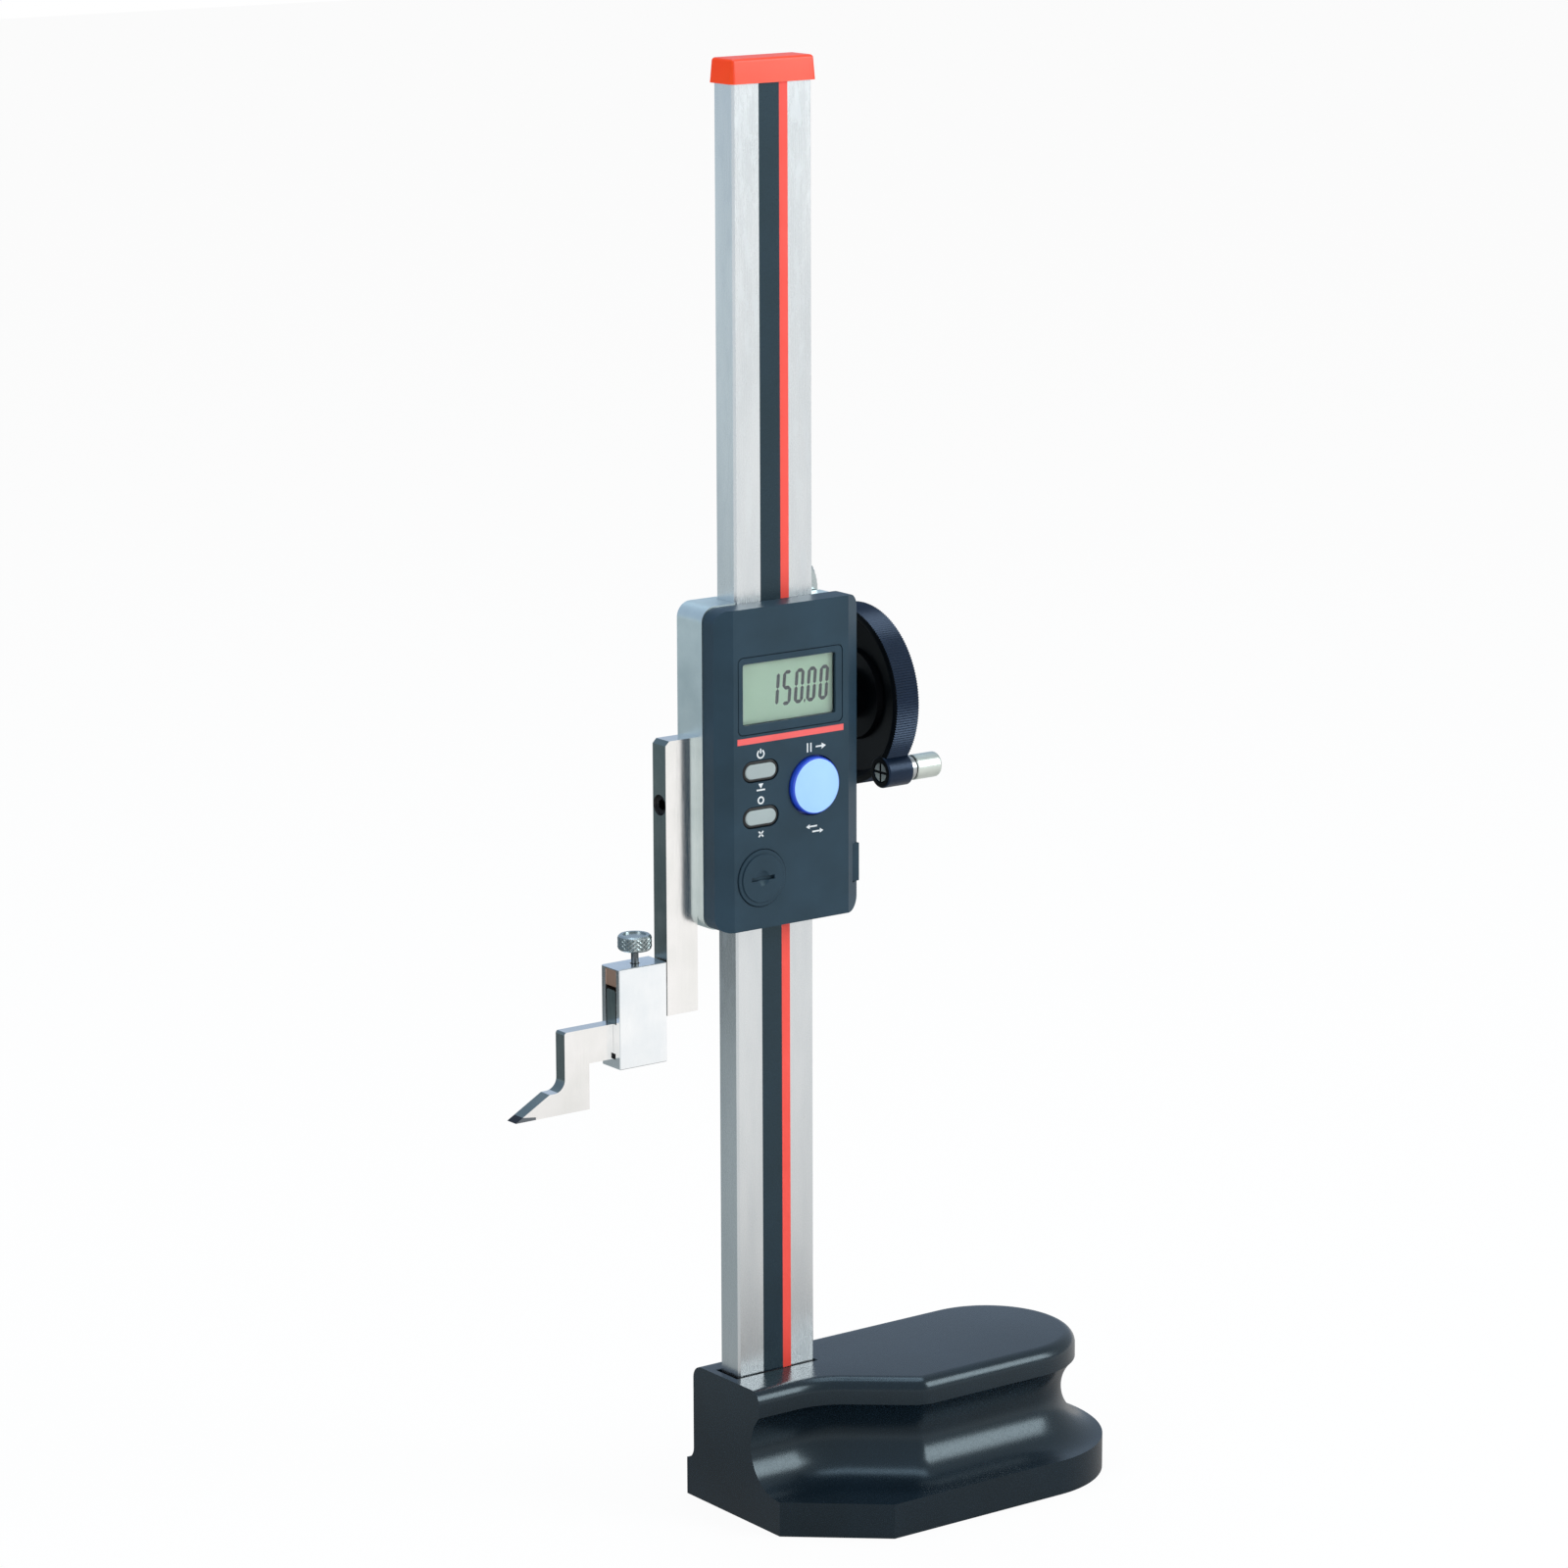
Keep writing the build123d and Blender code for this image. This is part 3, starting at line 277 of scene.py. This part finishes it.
# faces chosen by a test on their middle and normal get a second material
def paintFaces(piece, material, wanted):
    piece.data.materials.append(material)
    second = len(piece.data.materials) - 1
    for face in piece.data.polygons:
        if wanted(face.center, face.normal):
            face.material_index = second


# points closer than mergeMm become one, and edges flatter than the angle in degrees are shaded smooth
finishing = {"mergeMm": 0.001, "smoothAngle": 32, "ownAngle": {"display_housing": 18, "base_casting": 40}}
finished = {}


# a finished copy of a CAD node: merged, and smooth where the form is round
def finishNode(name):
    source = nodes[name]
    pieceName = "finished" + "".join(word.capitalize() for word in name.split("_"))
    piece = bpy.data.objects.new(pieceName, source.data.copy())
    bpy.context.scene.collection.objects.link(piece)
    selectOnly(piece)
    bpy.ops.object.mode_set(mode="EDIT")
    bpy.ops.mesh.select_all(action="SELECT")
    bpy.ops.mesh.customdata_custom_splitnormals_clear()
    bpy.ops.mesh.remove_doubles(threshold=finishing["mergeMm"] * mm)
    bpy.ops.object.mode_set(mode="OBJECT")
    angle = finishing["ownAngle"].get(name, finishing["smoothAngle"])
    bpy.ops.object.shade_smooth_by_angle(angle=math.radians(angle))
    useMaterial(piece, slotOfNode[name])
    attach(piece, source["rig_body"])
    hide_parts(name)
    finished[name] = piece


for nodeName in nodes:
    finishNode(nodeName)
print("CAD nodes finished:", len(nodes))

# thumb screw: a turned head on a darker stem
thumbScrew = {"stemHeight": 11.0}
screwLow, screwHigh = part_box("thumb_screw")
screwRadius = (screwHigh[0] - screwLow[0]) / 2
screwCentre = ((screwLow[0] + screwHigh[0]) / 2, (screwLow[1] + screwHigh[1]) / 2)
paintFaces(finished["thumb_screw"], darkStem, lambda middle, normal:
           middle.z < screwLow[2] + thumbScrew["stemHeight"] * mm)

# column cap: its left side gets a deeper orange with less sheen, as painted shade; a facing is how far a normal leans
# that way, 0 to 1
cap = {"leftFacing": 0.5}
paintFaces(finished["column_cap"], shadedSideOrange, lambda middle, normal: normal.x < -cap["leftFacing"])

# jaw and scriber: lapped on their broad faces; the faces turned to the left are plainly ground and darker, as painted
# shade
blades = {"leftFacing": 0.3, "topFacing": 0.3}
for nodeName in ("jaw", "scriber"):
    paintFaces(finished[nodeName], leftShadedSteel, lambda middle, normal: normal.x < -blades["leftFacing"])
# carbide tip: its faces turned to the left or up get the nearly black carbide, as painted shade
paintFaces(finished["carbide_tip"], shadedCarbide, lambda middle, normal:
           normal.x < -blades["leftFacing"] or normal.z > blades["topFacing"])

# handwheel: the serrated rim and the handle's boss get a blue-black painted reflection
wheel = {"rimInside": 29.8, "sideFacing": 0.9}
wheelLow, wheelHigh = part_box("handwheel")
wheelY, wheelZ = (wheelLow[1] + wheelHigh[1]) / 2, (wheelLow[2] + wheelHigh[2]) / 2
paintFaces(finished["handwheel"], rimPaintedReflection, lambda middle, normal:
           math.hypot(middle.y - wheelY, middle.z - wheelZ) > wheel["rimInside"] * mm
           and abs(normal.x) < wheel["sideFacing"])

# handle pin: the cross slot in its head gets painted shade
pinSlot = {"from": 0.1, "to": 0.6}
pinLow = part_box("handle_pin")[0]
paintFaces(finished["handle_pin"], slotShadow, lambda middle, normal:
           pinSlot["from"] * mm < middle.x - pinLow[0] < pinSlot["to"] * mm)

# hold key: a pale cap whose skirt and outer edge are painted deep blue, as shade
holdKey = {"radius": 9.6, "skirtWidth": 0.55, "frontFacing": 0.8}
holdLow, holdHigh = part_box("hold_button")
holdCentre = ((holdLow[0] + holdHigh[0]) / 2, (holdLow[2] + holdHigh[2]) / 2)
capRadius = (holdKey["radius"] - holdKey["skirtWidth"]) * mm
paintFaces(finished["hold_button"], shadedBlueKeySide, lambda middle, normal: normal.y > -holdKey["frontFacing"]
           or math.hypot(middle.x - holdCentre[0], middle.z - holdCentre[1]) > capRadius)
print("second finishes painted")


def finishPrimitive(piece, name, slotName, material, body):
    piece.name = name
    useMaterial(piece, slotName, material)
    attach(piece, body)


def clearMeshSelection(piece):
    selectOnly(piece)
    bpy.ops.object.mode_set(mode="EDIT")
    bpy.ops.mesh.select_mode(type="VERT")
    bpy.ops.mesh.select_all(action="DESELECT")
    bpy.ops.object.mode_set(mode="OBJECT")


# a dark ring of painted shade in the gap round a grey key: a ring whose two halves are pulled apart along X
gapShade = {"length": 14.5, "height": 7.0, "thickness": 1.25, "depth": 1.0, "sunk": 0.62, "smoothAngle": 60}


def keyGapShade(name, node):
    low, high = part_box(node)
    x, z, front = (low[0] + high[0]) / 2, (low[2] + high[2]) / 2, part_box("display_housing")[0][1]
    thick = gapShade["thickness"] / 2 * mm
    outer = gapShade["height"] / 2 * mm
    bpy.ops.object.select_all(action="DESELECT")
    bpy.ops.mesh.primitive_torus_add(major_segments=42, minor_segments=12, major_radius=outer - thick,
                                     minor_radius=thick, rotation=(math.pi / 2, 0, 0))
    ring = bpy.context.object
    bpy.ops.object.transform_apply(location=True, rotation=True, scale=True)
    reach = (gapShade["length"] - gapShade["height"]) / 2 * mm
    for side in (-1, 1):
        clearMeshSelection(ring)
        for vertex in ring.data.vertices:
            vertex.select = vertex.co.x * side > 0
        bpy.ops.object.mode_set(mode="EDIT")
        bpy.ops.transform.translate(value=(side * reach, 0, 0))
        bpy.ops.object.mode_set(mode="OBJECT")
    flatten = Matrix.Diagonal((1, gapShade["depth"] * mm / (2 * thick), 1, 1))
    ring.data.transform(Matrix.Translation((x, front + gapShade["sunk"] * mm, z)) @ flatten)
    bpy.ops.object.shade_smooth_by_angle(angle=math.radians(gapShade["smoothAngle"]))
    finishPrimitive(ring, name, "keypad_rubber", gapShadeBlack, "slider")


keyGapShade("onOffCollar", "on_off_button")
keyGapShade("zeroCollar", "zero_button")
print("key collars made")

# display digits: plain seven-segment numbers on the display's glass, made from one pointed segment
digits = {"text": "150.00", "height": 11.6, "width": 3.7, "pitch": 5.05, "stroke": 1.2, "slant": 0.08,
          "right": 16.35, "bottom": 279.15, "thickness": 0.06, "gap": 0.12, "point": 0.12, "dotShift": 0.75,
          "dotWidth": 0.22, "endFacing": 0.9}
segmentsOfDigit = {"0": "abcdef", "1": "bc", "2": "abged", "3": "abgcd", "4": "fgbc", "5": "afgcd", "6": "afgedc",
                   "7": "abc", "8": "abcdefg", "9": "abcdfg"}


def copyPiece(piece, matrix):
    other = piece.copy()
    other.data = piece.data.copy()
    other.data.transform(matrix)
    bpy.context.scene.collection.objects.link(other)
    return other


def joinPieces(pieces):
    bpy.ops.object.select_all(action="DESELECT")
    for piece in pieces:
        piece.select_set(True)
    bpy.context.view_layer.objects.active = pieces[0]
    bpy.ops.object.join()
    return bpy.context.object


# thumb screw's diamond knurl: one flat-topped stud, copied round the rim in staggered rows
knurl = {"around": 22, "rows": 5, "headHeight": 5.1, "chamfer": 0.4, "rise": 0.27, "sunk": 0.08, "flat": 0.22}


def rimKnurl():
    top = screwHigh[2] - knurl["chamfer"] * mm
    bottom = screwHigh[2] - (knurl["headHeight"] - knurl["chamfer"]) * mm
    tall = (top - bottom) / (knurl["rows"] + 1)
    wide = math.pi * screwRadius / knurl["around"]
    bpy.ops.object.select_all(action="DESELECT")
    bpy.ops.mesh.primitive_cone_add(vertices=4, radius1=1, radius2=knurl["flat"], depth=1, location=(0, 0, 0.5))
    stud = bpy.context.object
    bpy.ops.object.transform_apply(location=True, rotation=True, scale=True)
    outward = Matrix.Rotation(math.pi / 2, 4, "Y") @ Matrix.Diagonal((tall, wide, knurl["rise"] * mm, 1))
    stud.data.transform(Matrix.Translation((screwRadius - knurl["sunk"] * mm, 0, 0)) @ outward)
    studs = []
    for row in range(knurl["rows"]):
        place = Matrix.Translation((screwCentre[0], screwCentre[1], bottom + (row + 1) * tall))
        for step in range(knurl["around"]):
            angle = (step + row % 2 / 2) * 2 * math.pi / knurl["around"]
            studs.append(copyPiece(stud, place @ Matrix.Rotation(angle, 4, "Z")))
    bpy.data.objects.remove(stud)
    finishPrimitive(joinPieces(studs), "rimKnurl", "knurl_steel", darkKnurlChrome, "clamp_screw")


rimKnurl()
print("thumb screw knurled")


# a flat bar along X with a point at each end, its back at y = 0
def makeSegment(length, stroke, thickness):
    bpy.ops.object.select_all(action="DESELECT")
    bpy.ops.mesh.primitive_cube_add(size=1, location=(0, -thickness / 2 * mm, 0),
                                    scale=((length - stroke) * mm, thickness * mm, stroke * mm))
    bar = bpy.context.object
    bpy.ops.object.transform_apply(location=True, rotation=True, scale=True)
    for side in (-1, 1):
        clearMeshSelection(bar)
        for face in bar.data.polygons:
            face.select = face.normal.x * side > digits["endFacing"]
        bpy.ops.object.mode_set(mode="EDIT")
        bpy.ops.mesh.select_mode(type="FACE")
        bpy.ops.mesh.extrude_region_move(TRANSFORM_OT_translate={"value": (side * stroke / 2 * mm, 0, 0)})
        bpy.ops.transform.resize(value=(1, 1, digits["point"]))
        bpy.ops.object.mode_set(mode="OBJECT")
    return bar


def displayDigits():
    half, gap = digits["height"] / 2, digits["gap"]
    flat = makeSegment(digits["width"] - digits["stroke"] - gap, digits["stroke"], digits["thickness"])
    upright = makeSegment(half - digits["stroke"] / 2 - gap, digits["stroke"], digits["thickness"])
    turnUp = Matrix.Rotation(math.pi / 2, 4, "Y")
    inset = digits["stroke"] / 2
    left, right = inset, digits["width"] - inset
    low, middle, high = inset, half, digits["height"] - inset
    places = {"a": (flat, digits["width"] / 2, high), "g": (flat, digits["width"] / 2, middle),
              "d": (flat, digits["width"] / 2, low), "f": (upright, left, (middle + high) / 2),
              "b": (upright, right, (middle + high) / 2), "e": (upright, left, (low + middle) / 2),
              "c": (upright, right, (low + middle) / 2)}
    lean = Matrix(((1, 0, digits["slant"], 0), (0, 1, 0, 0), (0, 0, 1, 0), (0, 0, 0, 1)))
    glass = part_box("lcd_panel")[0][1]
    pieces = []
    column = 0
    for sign in reversed(digits["text"]):
        start = digits["right"] - digits["width"] - column * digits["pitch"]
        home = Matrix.Translation((start * mm, glass, digits["bottom"] * mm)) @ lean
        if sign == ".":
            beside = Matrix.Translation(((digits["width"] + digits["dotShift"]) * mm, 0, inset * mm))
            pieces.append(copyPiece(flat, home @ beside @ Matrix.Scale(digits["dotWidth"], 4, (1, 0, 0))))
            continue
        for letter in segmentsOfDigit[sign]:
            bar, x, z = places[letter]
            turn = turnUp if bar is upright else Matrix.Identity(4)
            pieces.append(copyPiece(bar, home @ Matrix.Translation((x * mm, 0, z * mm)) @ turn))
        column += 1
    bpy.data.objects.remove(flat)
    bpy.data.objects.remove(upright)
    finishPrimitive(joinPieces(pieces), "displayDigits", "housing_plastic", segmentInk, "slider")


displayDigits()
print("display digits made")

# key marks: plain pad-printed signs on the housing's front; each stroke has its kind, its X and Z in millimetres,
# its length or radius, and its turn in degrees, which for a ring is half of its opening at the top
marks = {
    "stroke": 0.55, "thickness": 0.03, "corner": 0.08,
    "strokes": (
        ("ring", -12.5, 264.5, 1.6, 32), ("bar", -12.5, 265.5, 1.6, 90),  # power
        ("bar", -12.5, 252.4, 3.4, 0), ("triangle", -12.5, 254.0, 1.15, 180),  # datum
        ("ring", -12.5, 248.9, 1.35, 0),  # zero
        ("bar", -12.5, 237.5, 2.6, 45), ("bar", -12.5, 237.5, 2.6, -45),  # cross
        ("bar", 6.7, 264.1, 3.1, 90), ("bar", 8.1, 264.1, 3.1, 90),  # hold
        ("bar", 11.3, 264.1, 2.4, 0), ("triangle", 13.1, 264.1, 1.2, 90),  # and go on
        ("bar", 9.0, 237.2, 3.2, 0), ("triangle", 7.0, 237.2, 0.95, -90),  # change over
        ("bar", 10.2, 235.4, 3.2, 0), ("triangle", 12.2, 235.4, 0.95, 90),
    ),
}
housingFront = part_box("display_housing")[0][1]


def markPlace(x, z):
    return Matrix.Translation((x * mm, housingFront, z * mm))


def markBar(x, z, length, degrees):
    bpy.ops.object.select_all(action="DESELECT")
    bpy.ops.mesh.primitive_cube_add(size=1, scale=(length * mm, marks["thickness"] * mm, marks["stroke"] * mm))
    bar = bpy.context.object
    bpy.ops.object.transform_apply(location=True, rotation=True, scale=True)
    selectOnly(bar)
    bevel = bar.modifiers.new("roundCorners", "BEVEL")
    bevel.width, bevel.segments = marks["corner"] * mm, 2
    bevel.limit_method = "ANGLE"
    bpy.ops.object.modifier_apply(modifier=bevel.name)
    bar.data.transform(markPlace(x, z) @ Matrix.Rotation(math.radians(degrees), 4, "Y"))
    return bar


def solidMark(piece, x, z):
    selectOnly(piece)
    wall = piece.modifiers.new("inkThickness", "SOLIDIFY")
    wall.thickness = marks["thickness"] * mm
    wall.offset = 0
    bpy.ops.object.modifier_apply(modifier=wall.name)
    piece.data.transform(markPlace(x, z))
    return piece


def markRing(x, z, radius, openDegrees):
    bpy.ops.object.select_all(action="DESELECT")
    bpy.ops.mesh.primitive_circle_add(vertices=72, radius=radius * mm, rotation=(math.pi / 2, 0, 0))
    ring = bpy.context.object
    bpy.ops.object.transform_apply(location=True, rotation=True, scale=True)
    selectOnly(ring)
    bpy.ops.object.mode_set(mode="EDIT")
    bpy.ops.mesh.select_mode(type="VERT")
    bpy.ops.mesh.select_all(action="SELECT")
    bpy.ops.mesh.extrude_region_move()
    inner = 1 - marks["stroke"] / radius
    bpy.ops.transform.resize(value=(inner, inner, inner))
    bpy.ops.mesh.select_mode(type="FACE")
    bpy.ops.mesh.select_all(action="DESELECT")
    bpy.ops.object.mode_set(mode="OBJECT")
    for face in ring.data.polygons:
        face.select = abs(math.degrees(math.atan2(face.center.x, face.center.z))) < openDegrees
    bpy.ops.object.mode_set(mode="EDIT")
    bpy.ops.mesh.delete(type="FACE")
    bpy.ops.object.mode_set(mode="OBJECT")
    return solidMark(ring, x, z)


def markTriangle(x, z, radius, degrees):
    bpy.ops.object.select_all(action="DESELECT")
    bpy.ops.mesh.primitive_circle_add(vertices=3, radius=radius * mm, fill_type="NGON", rotation=(math.pi / 2, 0, 0))
    bpy.ops.object.transform_apply(location=True, rotation=True, scale=True)
    triangle = bpy.context.object
    triangle.data.transform(Matrix.Rotation(math.radians(degrees), 4, "Y"))
    return solidMark(triangle, x, z)


def keyMarks():
    makers = {"bar": markBar, "ring": markRing, "triangle": markTriangle}
    pieces = [makers[kind](x, z, size, turn) for kind, x, z, size, turn in marks["strokes"]]
    finishPrimitive(joinPieces(pieces), "keyMarks", "key_grey", whiteInk, "slider")


keyMarks()
print("key marks printed")

# camera: its place in metres, its turns in degrees and its lens in millimetres
camera = {
    "place": (-1.03795, -1.41727, 0.63832),
    "yaw": -36.42, "tilt": 77.54, "roll": -0.18,
    "lens": 124.1, "sensor": 36, "nearest": 0.05, "farthest": 50,
}
bpy.context.scene.view_settings.view_transform = "Standard"
cameraData = bpy.data.cameras.new("camera")
cameraData.lens = camera["lens"]
cameraData.sensor_width = camera["sensor"]
cameraData.clip_start, cameraData.clip_end = camera["nearest"], camera["farthest"]
cameraObject = bpy.data.objects.new("camera", cameraData)
bpy.context.scene.collection.objects.link(cameraObject)
turn = (Matrix.Rotation(math.radians(camera["yaw"]), 4, "Z") @ Matrix.Rotation(math.radians(camera["tilt"]), 4, "X")
        @ Matrix.Rotation(math.radians(camera["roll"]), 4, "Z"))
cameraObject.matrix_world = Matrix.Translation(camera["place"]) @ turn
bpy.context.scene.camera = cameraObject

# soft boxes that all look at the gauge's middle: place and size in metres
lampTarget = (0.0, 0.0, 0.25)
lamps = {
    "keyLamp": {"place": (1.3, -1.5, 1.2), "size": (0.95, 1.3), "watts": 26, "colour": "#f7fdff"},
    "leftLamp": {"place": (-1.8, -0.4, 0.9), "size": (0.8, 1.4), "watts": 8, "colour": "#ffffff"},
    "topLamp": {"place": (0.1, 0.3, 2.0), "size": (1.4, 1.4), "watts": 18, "colour": "#daefff"},
}


def addLamp(name, place, size, watts, colour):
    lampData = bpy.data.lights.new(name, "AREA")
    lampData.shape = "RECTANGLE"
    lampData.size, lampData.size_y = size
    lampData.energy = watts
    lampData.color = hexColour(colour)[:3]
    lamp = bpy.data.objects.new(name, lampData)
    bpy.context.scene.collection.objects.link(lamp)
    aim = (Vector(lampTarget) - Vector(place)).to_track_quat("-Z", "Y").to_matrix().to_4x4()
    lamp.matrix_world = Matrix.Translation(place) @ aim


for lampName, lampSettings in lamps.items():
    addLamp(lampName, **lampSettings)
print("camera and lamps ready")

# studio: bright in front to the right, darker behind to the left, so polished faces differ from each other;
# distances are in metres from the foot of the gauge, and backSteps gives the floor's brightness behind it
studio = {
    "brightWay": (0.55, -0.8, 0.25), "roomFrom": -0.5, "roomTo": 0.7,
    "darkTint": "#adc0d7", "frontTone": "#b5bcc0", "ambient": 0.46,
    "foot": (0.04, -0.02, 0), "floorNear": 0.75, "floorFar": 1.0, "nearAt": 0.15, "farAt": 0.62,
    "underShade": 0.5, "shadeFrom": 0.11, "shadeTo": 0.22, "leanFrom": -0.25, "leanTo": 0.1,
    "backSteps": ((0.0, 0.62), (0.62, 0.58), (0.8, 0.06), (1.02, 0.06), (1.15, 0.5), (1.7, 0.74), (2.1, 1.0)),
    "frontTint": "#ffffff", "backTint": "#ddeaef",
    "floorWhite": 0.94,  # share of pure white that the camera sees, the rest keeps the gauge's shadow
    "floorSize": 12, "floorColour": "#f2f2f2", "floorRoughness": 0.8,
}
white = hexColour("#ffffff")


def makeWorld():
    world = bpy.data.worlds.new("studio")
    bpy.context.scene.world = world
    world.use_nodes = True
    tree = world.node_tree
    tree.nodes.clear()
    path = addNode(tree, "LightPath")
    way = addNode(tree, "TexCoord").outputs["Generated"]
    facing = addNode(tree, "VectorMath", {0: way, 1: studio["brightWay"]}, operation="DOT_PRODUCT").outputs["Value"]
    room = addNode(tree, "MapRange", {"Value": facing, "From Min": studio["roomFrom"], "From Max": studio["roomTo"]},
                   interpolation_type="SMOOTHSTEP").outputs["Result"]
    mirrored = addNode(tree, "Math", {0: path.outputs["Is Glossy Ray"], 1: path.outputs["Is Transmission Ray"]},
                       operation="MAXIMUM").outputs[0]
    colour = addNode(tree, "Mix", {"Factor": room, 6: hexColour(studio["darkTint"]),
                                   7: hexColour(studio["frontTone"])}, data_type="RGBA")
    ambient = [studio["ambient"]] * 3 + [1]
    soft = addNode(tree, "Mix", {"Factor": mirrored, 6: ambient, 7: colour.outputs[2]}, data_type="RGBA")
    shown = addNode(tree, "Mix", {"Factor": path.outputs["Is Camera Ray"], 6: soft.outputs[2], 7: white},
                    data_type="RGBA")
    glow = addNode(tree, "Background", {"Color": shown.outputs[2], "Strength": 1.0})
    addNode(tree, "OutputWorld", {"Surface": glow.outputs[0]})


makeWorld()


def makeFloor():
    bpy.ops.object.select_all(action="DESELECT")
    bpy.ops.mesh.primitive_plane_add(size=studio["floorSize"], location=(0, 0, 0))
    floor = bpy.context.object
    floor.name = "floor"
    material, tree, shader, place = startMaterial("whitePaperFloor", studio["floorColour"], 0.0,
                                                  studio["floorRoughness"])
    path = addNode(tree, "LightPath")
    distance = addNode(tree, "VectorMath", {0: place, 1: studio["foot"]}, operation="DISTANCE").outputs["Value"]
    spread = addNode(tree, "MapRange", {"Value": distance, "From Min": studio["nearAt"], "From Max": studio["farAt"],
                                        "To Min": studio["floorNear"], "To Max": studio["floorFar"]},
                     interpolation_type="SMOOTHSTEP").outputs["Result"]
    under = addNode(tree, "MapRange", {"Value": distance, "From Min": studio["shadeFrom"],
                                       "From Max": studio["shadeTo"], "To Min": studio["underShade"], "To Max": 1.0},
                    interpolation_type="SMOOTHSTEP").outputs["Result"]
    spread = addNode(tree, "Math", {0: spread, 1: under}, operation="MULTIPLY").outputs[0]
    side = addNode(tree, "VectorMath", {0: place, 1: studio["brightWay"]}, operation="DOT_PRODUCT").outputs["Value"]
    lean = addNode(tree, "MapRange", {"Value": side, "From Min": studio["leanFrom"], "From Max": studio["leanTo"]},
                   interpolation_type="SMOOTHSTEP").outputs["Result"]
    reach = studio["backSteps"][-1][0]
    along = addNode(tree, "Math", {0: distance, 1: reach}, operation="DIVIDE").outputs[0]
    steps = addNode(tree, "ValToRGB", {0: along})
    for at, level in studio["backSteps"][1:-1]:
        steps.color_ramp.elements.new(at / reach)
    for element, (at, level) in zip(steps.color_ramp.elements, studio["backSteps"]):
        element.color = (level, level, level, 1)
    band = addNode(tree, "Mix", {0: lean, 2: steps.outputs[0], 3: 1.0}).outputs[0]
    spread = addNode(tree, "Math", {0: spread, 1: band}, operation="MULTIPLY").outputs[0]
    tint = addNode(tree, "Mix", {"Factor": lean, 6: hexColour(studio["backTint"]),
                                 7: hexColour(studio["frontTint"])}, data_type="RGBA")
    dimmed = addNode(tree, "VectorMath", {0: tint.outputs[2], "Scale": spread}, operation="SCALE")
    shown = addNode(tree, "Mix", {"Factor": path.outputs["Is Camera Ray"], 6: dimmed.outputs[0], 7: white},
                    data_type="RGBA")
    glow = addNode(tree, "Emission", {"Color": shown.outputs[2], "Strength": 1.0})
    seen = addNode(tree, "Math", {0: path.outputs["Is Camera Ray"], 1: studio["floorWhite"]}, operation="MULTIPLY")
    share = addNode(tree, "Math", {0: seen.outputs[0], 1: path.outputs["Is Glossy Ray"]}, operation="MAXIMUM")
    mix = addNode(tree, "MixShader", {0: share.outputs[0], 1: shader.outputs[0], 2: glow.outputs[0]})
    tree.links.new(mix.outputs[0], tree.nodes["Material Output"].inputs["Surface"])
    floor.data.materials.append(material)


makeFloor()
print("stage ready")
